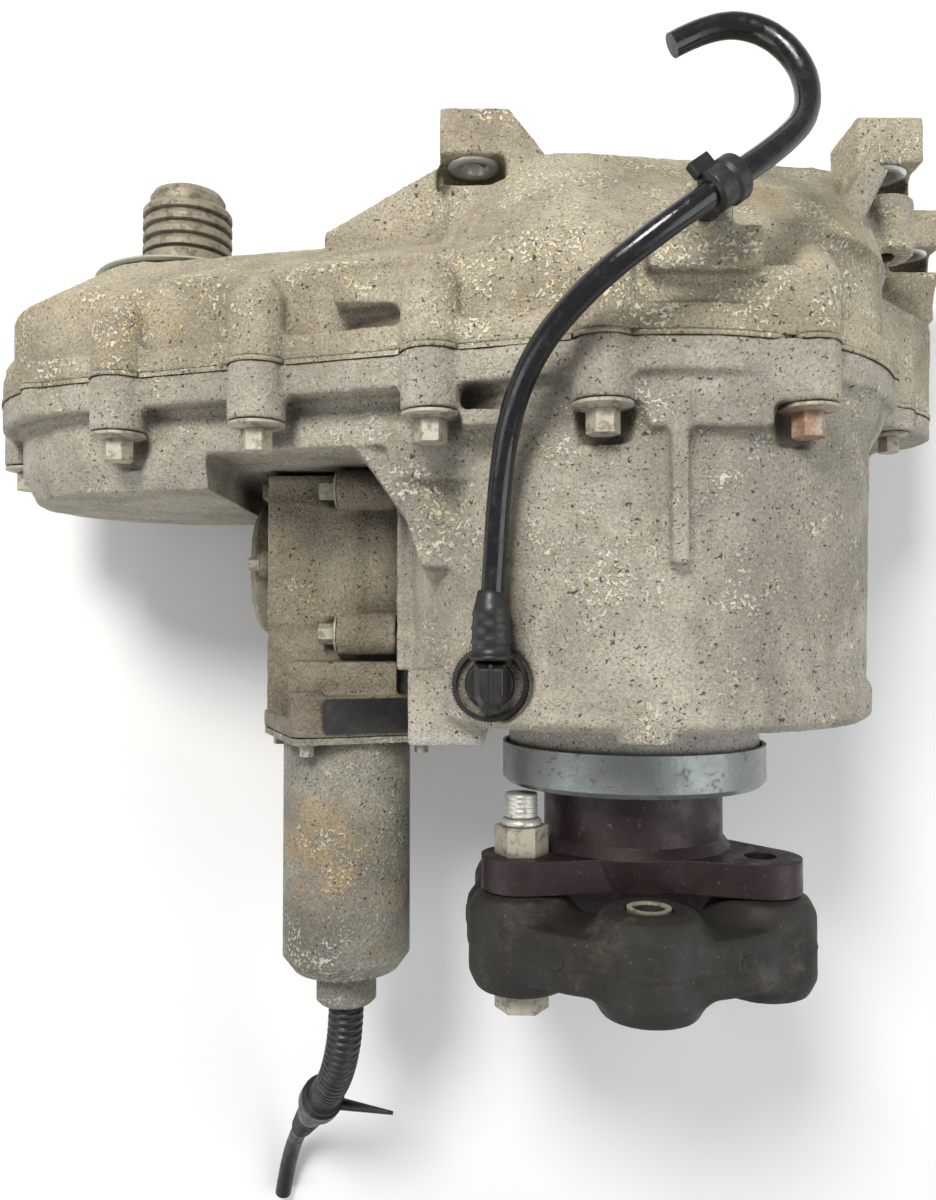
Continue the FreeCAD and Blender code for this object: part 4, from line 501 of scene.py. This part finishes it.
def spline(name, route, radius=0.0):
    """A curve with a route in millimetres as its control points."""
    data = bpy.data.curves.new(name, "CURVE")
    data.dimensions = "3D"
    line = data.splines.new("NURBS")
    line.points.add(len(route) - 1)
    for point, (x, y, z) in zip(line.points, route):
        point.co = (x / 1000, y / 1000, z / 1000, 1.0)
    line.order_u = 3
    line.use_endpoint_u = True
    line.resolution_u = 12
    data.bevel_depth = radius
    data.bevel_resolution = 8
    data.use_fill_caps = radius > 0
    return data


def centre_line(name, route):
    """The points along a route's smooth line."""
    holder = bpy.data.objects.new(name, spline(name, route))
    scene.collection.objects.link(holder)
    graph = bpy.context.evaluated_depsgraph_get()
    mesh = bpy.data.meshes.new_from_object(holder.evaluated_get(graph))
    points = [v.co.copy() for v in mesh.vertices]
    bpy.data.meshes.remove(mesh)
    bpy.data.objects.remove(holder)
    return points


def even_points(points, step):
    """Points at even steps along a line of points, with the way the line runs there."""
    result = []
    left = 0.0
    for a, b in zip(points, points[1:]):
        length = (b - a).length
        while left <= length:
            result.append((a.lerp(b, left / length), (b - a).normalized()))
            left += step
        left -= length
    return result


def tube_mesh(name, stations, sides=28):
    """A tube through (point, direction, radius) stations, closed at both ends."""
    mesh = bmesh.new()
    rings = []
    side = Vector((1.0, 0.0, 0.0))
    for point, way, radius in stations:
        side = (side - way * side.dot(way)).normalized()
        up = way.cross(side)
        turn = [math.tau * i / sides for i in range(sides)]
        rings.append([mesh.verts.new(point + (side * math.cos(a) + up * math.sin(a)) * radius) for a in turn])
    for low, high in zip(rings, rings[1:]):
        for i in range(sides):
            mesh.faces.new((low[i], low[(i + 1) % sides], high[(i + 1) % sides], high[i]))
    mesh.faces.new(list(reversed(rings[0])))
    mesh.faces.new(rings[-1])
    bmesh.ops.recalc_face_normals(mesh, faces=mesh.faces)
    data = bpy.data.meshes.new(name)
    mesh.to_mesh(data)
    mesh.free()
    shade_smooth(data)
    return data


def add_breather_hose():
    data = spline("hose", HOSE_ROUTE, CORD_R)
    hose = bpy.data.objects.new("hose", data)
    scene.collection.objects.link(hose)
    data.materials.append(HOSE_BLACK)
    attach(hose, "case")
    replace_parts(hose, "breather_hose")


def add_wiring():
    """The cable that leaves the motor inside a ribbed conduit and a tapered sleeve."""
    data = spline("cable", CONDUIT_ROUTE + STUB_ROUTE, CORD_R)
    cable = bpy.data.objects.new("cable", data)
    scene.collection.objects.link(cable)
    data.materials.append(PLASTIC_BLACK)
    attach(cable, "case")
    step, rib_pitch = 0.0004, 0.0031
    rib_low, rib_height = 0.0062, 0.0012
    line = even_points(centre_line("cable_line", CONDUIT_ROUTE + STUB_ROUTE), step)
    conduit_end, sleeve_end = 0.064, 0.122
    sleeve_wide, sleeve_drop, band_r = 0.0088, 0.0034, 0.0098
    groove_pitch, groove_depth = 0.0016, 0.0009
    ribs, taper = [], []
    for i, (point, way) in enumerate(line):
        s = i * step
        if step < s < conduit_end:
            wave = 0.5 + 0.5 * math.cos(math.tau * s / rib_pitch)
            ribs.append((point, way, rib_low + rib_height * min(1.0, 1.6 * wave)))
        elif conduit_end <= s < sleeve_end:
            t = (s - conduit_end) / (sleeve_end - conduit_end)
            radius = sleeve_wide - sleeve_drop * t
            if 0.08 < t < 0.24:
                radius = band_r
            if t > 0.55 and int((s - conduit_end) / groove_pitch) % 2:
                radius -= groove_depth
            taper.append((point, way, radius))
    conduit = new_piece("conduit", tube_mesh("conduit", ribs), PLASTIC_BLACK, "case")
    sleeve = new_piece("sleeve", tube_mesh("sleeve", taper), PLASTIC_BLACK, "case")
    root = taper[len(taper) // 5][0]
    tail_way = Vector((0.034, 0.0, 0.012))
    tail_line = [root + tail_way * (i / 12) for i in range(13)]
    tail_tube = [(p, tail_way.normalized(), 0.0034 - 0.0026 * i / 12) for i, p in enumerate(tail_line)]
    tail = new_piece("tie_tail", tube_mesh("tie_tail", tail_tube), PLASTIC_BLACK, "case")
    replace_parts(cable, "wiring_stub")
    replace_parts(conduit, "wiring_conduit")
    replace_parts(sleeve, "conduit_sleeve")


add_breather_hose()
add_wiring()


# Small details
def joined(name, makers, material, body, bevel=0.0):
    """One piece from several shapes, with its edges softened."""
    mesh = bmesh.new()
    for maker in makers:
        maker(mesh)
    bmesh.ops.recalc_face_normals(mesh, faces=mesh.faces)
    data = bpy.data.meshes.new(name)
    mesh.to_mesh(data)
    mesh.free()
    piece = new_piece(name, data, material, body)
    if bevel:
        soft = piece.modifiers.new("soft", "BEVEL")
        soft.width = bevel
        soft.segments = 3
        soft.limit_method = "ANGLE"
        baked(piece)
        piece.data.materials.clear()
        piece.data.materials.append(material)
    return piece


def turned_y(name, profile, x, z, material, body):
    """A turned piece along Y from (y, radius) pairs in millimetres."""
    way = Vector((0.0, 1.0, 0.0))
    stations = [(Vector((x, y, z)) / 1000, way, r / 1000) for y, r in profile]
    return new_piece(name, tube_mesh(name, stations, 40), material, body)


def add_label_plate():
    """The bare black plate on the motor's flange."""
    lean = math.atan2(-15.0, 44.5)
    along = Vector((math.cos(lean), 0.0, math.sin(lean)))
    up = Vector((-math.sin(lean), 0.0, math.cos(lean)))
    middle = Vector((-0.1060, -0.2078, 0.01575)) + up * 0.0004
    half, width, corner, thick = 0.0190, 0.0068, 0.0018, 0.0007
    outline = []
    for sx, sy, first in ((1, 1, 0), (-1, 1, 90), (-1, -1, 180), (1, -1, 270)):
        for i in range(6):
            a = math.radians(first + 18 * i)
            u = sx * (half - corner) + corner * math.cos(a)
            v = sy * (width - corner) + corner * math.sin(a)
            outline.append((u, v))
    mesh = bmesh.new()
    low = [mesh.verts.new(middle + along * u + Vector((0, v, 0))) for u, v in outline]
    high = [mesh.verts.new(middle + along * u + Vector((0, v, 0)) + up * thick) for u, v in outline]
    mesh.faces.new(low)
    mesh.faces.new(high)
    for i in range(len(outline)):
        k = (i + 1) % len(outline)
        mesh.faces.new((low[i], low[k], high[k], high[i]))
    bmesh.ops.recalc_face_normals(mesh, faces=mesh.faces)
    data = bpy.data.meshes.new("label_plate")
    mesh.to_mesh(data)
    mesh.free()
    new_piece("label_plate", data, PLASTIC_BLACK, "case")


def add_breather():
    """The elbow: a barbed cuff that grips the hose, a faceted head on a round foot, and its toothed ring."""
    cuff = [(-184.0, 5.6), (-183.6, 7.4), (-182.2, 7.4), (-182.0, 6.5), (-178.6, 6.4), (-178.2, 6.9),
            (-176.4, 6.5), (-174.0, 6.3), (-173.4, 6.8), (-171.4, 6.3), (-169.2, 6.1), (-168.6, 6.5),
            (-166.0, 5.7), (-162.5, 4.9), (-160.6, 4.5), (-160.4, 4.0)]
    turned_y("hose_cuff", cuff, -59.7, 79.0, PLASTIC_BLACK, "case")
    x, y = ELBOW.x * 1000, ELBOW.y * 1000

    def head(mesh):
        low = [(-5.4, 7.6), (-5.4, -4.0), (-3.2, -8.2), (3.2, -8.2), (5.4, -4.0), (5.4, 7.6)]
        rings = []
        for z, scale in ((71.0, 1.0), (82.0, 1.0), (85.6, 0.72)):
            ring = [((x + u * scale) / 1000, (y + v * scale) / 1000, z / 1000) for u, v in low]
            rings.append([mesh.verts.new(corner) for corner in ring])
        mesh.faces.new(rings[0])
        mesh.faces.new(rings[-1])
        for a, b in zip(rings, rings[1:]):
            for i in range(6):
                mesh.faces.new((a[i], a[(i + 1) % 6], b[(i + 1) % 6], b[i]))

    def foot(mesh):
        place = Matrix.Translation(Vector((x, y, 72.2)) / 1000)
        bmesh.ops.create_cone(mesh, cap_ends=True, segments=40, radius1=0.0086, radius2=0.0080, depth=0.0024,
                              matrix=place)

    def ridge(mesh):
        add_box(mesh, (x - 0.7, y - 6.0, 80), (x + 0.7, y + 7.0, 86.1))

    elbow = joined("elbow", [head, foot, ridge], PLASTIC_BLACK, "case", 0.0005)
    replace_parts(elbow, "breather_elbow")
    teeth = 72
    mesh = bmesh.new()
    rings = []
    for i in range(teeth * 2):
        a = math.tau * i / (teeth * 2)
        outer = 0.0133 if i % 2 else 0.0127
        corners = ((0.0114, 0.0712), (outer, 0.0714), (outer, 0.0730), (0.0114, 0.0732))
        rings.append([mesh.verts.new((ELBOW.x + r * math.cos(a), ELBOW.y + r * math.sin(a), z))
                      for r, z in corners])
    for i, low in enumerate(rings):
        high = rings[(i + 1) % len(rings)]
        for k in range(4):
            mesh.faces.new((low[k], low[(k + 1) % 4], high[(k + 1) % 4], high[k]))
    bmesh.ops.recalc_face_normals(mesh, faces=mesh.faces)
    data = bpy.data.meshes.new("toothed_ring")
    mesh.to_mesh(data)
    mesh.free()
    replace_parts(new_piece("toothed_ring", data, PLASTIC_BLACK, "case"), "breather_ring")


def open_turned(name, profile, x, z, material, body):
    """A turned sheet along Y from (y, radius) pairs in millimetres, open at both ends."""
    sides = 48
    turns = [math.tau * k / sides for k in range(sides)]
    mesh = bmesh.new()
    rings = []
    for y, r in profile:
        ring = [Vector((x + r * math.cos(a), y, z + r * math.sin(a))) / 1000 for a in turns]
        rings.append([mesh.verts.new(point) for point in ring])
    for low, high in zip(rings, rings[1:]):
        for k in range(sides):
            mesh.faces.new((low[k], low[(k + 1) % sides], high[(k + 1) % sides], high[k]))
    data = bpy.data.meshes.new(name)
    mesh.to_mesh(data)
    mesh.free()
    shade_smooth(data)
    return new_piece(name, data, material, body)


def add_ear_faces():
    """Bright spot-faced rings round the bolt holes in the ears."""
    profile = [(2.4, 10.6), (1.7, 10.3), (1.6, 6.3), (2.6, 5.3), (19.8, 5.3)]
    for i, (x, z) in enumerate(EARS):
        open_turned("ear_face_%d" % i, profile, x, z, MACHINED, "case")


def add_coupling_details():
    """Buttons moulded on the coupling, the nut's collar, the bolt's thread, and near-black sheets in the
    sleeves' bores that paint the shade inside them.
    """
    button_out, button_y = 0.0670, -0.2905

    def button(turn):
        def make(mesh):
            a = math.radians(turn)
            out = Vector((math.sin(a), 0.0, math.cos(a)))
            facing = out.to_track_quat("Z", "Y").to_matrix().to_4x4()
            place = Matrix.Translation(out * button_out + Vector((0.0, button_y, 0.0))) @ facing
            bmesh.ops.create_cone(mesh, cap_ends=True, segments=28, radius1=0.0036, radius2=0.0034,
                                  depth=0.0026, matrix=place)
        return make

    pitch = 360 / LOBES
    buttons = [button(FLANGE_TURN + pitch / 2 + pitch * i) for i in range(LOBES)]
    joined("coupling_buttons", buttons, COUPLING_RUBBER, "main_rotor", 0.0003)
    first = lobe_centres()[0] * 1000
    collar = [(-249.4, 7.6), (-248.6, 7.9), (-247.2, 7.9), (-246.4, 7.2), (-246.2, 6.2)]
    turned_y("nut_collar", collar, first.x, first.z, NUT_STEEL, "main_rotor")
    start, step, crest_r, root_r = -246.2, 0.45, 6.35, 6.05
    thread = [(start + i * step, crest_r if (i // 2) % 2 else root_r) for i in range(22)]
    turned_y("stud_thread", thread, first.x, first.z, NUT_STEEL, "main_rotor")
    # Painted shade: near-black sheets lining every other sleeve's bore
    bore = [(-273.6, 5.95), (-309.4, 5.95)]
    for i, centre in enumerate(lobe_centres()):
        if i % 2 == 1:
            open_turned("sleeve_bore_shade_%d" % i, bore, centre.x * 1000, centre.z * 1000, BORE_SHADE, "main_rotor")


def add_hose_clip():
    """The collar that holds the hose, with its hook and the foot that snaps over the cast boss."""
    line = even_points(centre_line("clip_line", HOSE_ROUTE), 0.0005)
    middle = min(range(len(line)), key=lambda i: (line[i][0] - CLIP).length)
    held = line[middle - 9:middle + 10]
    rim_r, neck_r, rim_length = 0.0072, 0.0064, 8
    rim_start = len(held) - rim_length
    stations = []
    for i, (point, way) in enumerate(held):
        stations.append((point, way, rim_r if i >= rim_start else neck_r))
    collar = new_piece("clip_collar", tube_mesh("clip_collar", stations), PLASTIC_BLACK, "case")
    point, way = line[middle]
    side = Vector((-way.y, way.x, 0.0)).normalized()

    def foot(mesh):
        place = Matrix.Translation((CLIP.x, CLIP.y, (CLIP_SEAT_Z + point.z) / 2))
        bmesh.ops.create_cone(mesh, cap_ends=True, segments=32, radius1=0.0048, radius2=0.0036,
                              depth=point.z - CLIP_SEAT_Z, matrix=place)

    def hook(mesh):
        facing = Matrix((way, side, way.cross(side))).transposed().to_4x4()
        place = Matrix.Translation(point + side * 0.0082 - way * 0.0020) @ facing
        bmesh.ops.create_cube(mesh, size=1.0, matrix=place @ Matrix.Diagonal((0.0075, 0.0050, 0.0030, 1.0)))

    joined("clip_foot", [foot, hook], PLASTIC_BLACK, "case", 0.0005)
    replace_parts(collar, "hose_clip")


add_label_plate()
add_breather()
add_ear_faces()
add_coupling_details()
add_hose_clip()


# The floor and the background
def add_floor():
    """A pale floor that shades off into white a little way from the part."""
    mesh = bpy.data.meshes.new("floor")
    half = 12.0
    corners = [(-half, -half), (half, -half), (half, half), (-half, half)]
    mesh.from_pydata([(x, y, FLOOR_Z) for x, y in corners], [], [(0, 1, 2, 3)])
    floor = bpy.data.objects.new("floor", mesh)
    scene.collection.objects.link(floor)
    s = Shader("floor")
    pale = s.mix(s.noise(3.0, 3.0), (0.84, 0.84, 0.83), (0.88, 0.88, 0.87))
    close = s.near((-0.06, -0.17, FLOOR_Z), 0.45, 1.9)
    mesh.materials.append(s.finish(s.mix(close, (0.0, 0.0, 0.0), pale), 0.8, specular=0.0))
    s.out.inputs["Emission Color"].default_value = (1.0, 1.0, 1.0, 1.0)
    s.feed(s.out.inputs["Emission Strength"], s.math("SUBTRACT", 1.0, close))


def set_world():
    """Soft even light from all round, and plain white behind the part."""
    world = bpy.data.worlds.new("world")
    world.use_nodes = True
    scene.world = world
    tree = world.node_tree
    sky = tree.nodes["Background"]
    sky.inputs["Color"].default_value = (0.80, 0.82, 0.85, 1.0)
    sky.inputs["Strength"].default_value = 0.43
    white = tree.nodes.new("ShaderNodeBackground")
    white.inputs["Color"].default_value = (1.0, 1.0, 1.0, 1.0)
    white.inputs["Strength"].default_value = 1.0
    path = tree.nodes.new("ShaderNodeLightPath")
    mixer = tree.nodes.new("ShaderNodeMixShader")
    tree.links.new(path.outputs["Is Camera Ray"], mixer.inputs[0])
    tree.links.new(sky.outputs[0], mixer.inputs[1])
    tree.links.new(white.outputs[0], mixer.inputs[2])
    tree.links.new(mixer.outputs[0], tree.nodes["World Output"].inputs["Surface"])


add_floor()
set_world()
scene.view_settings.view_transform = "Standard"
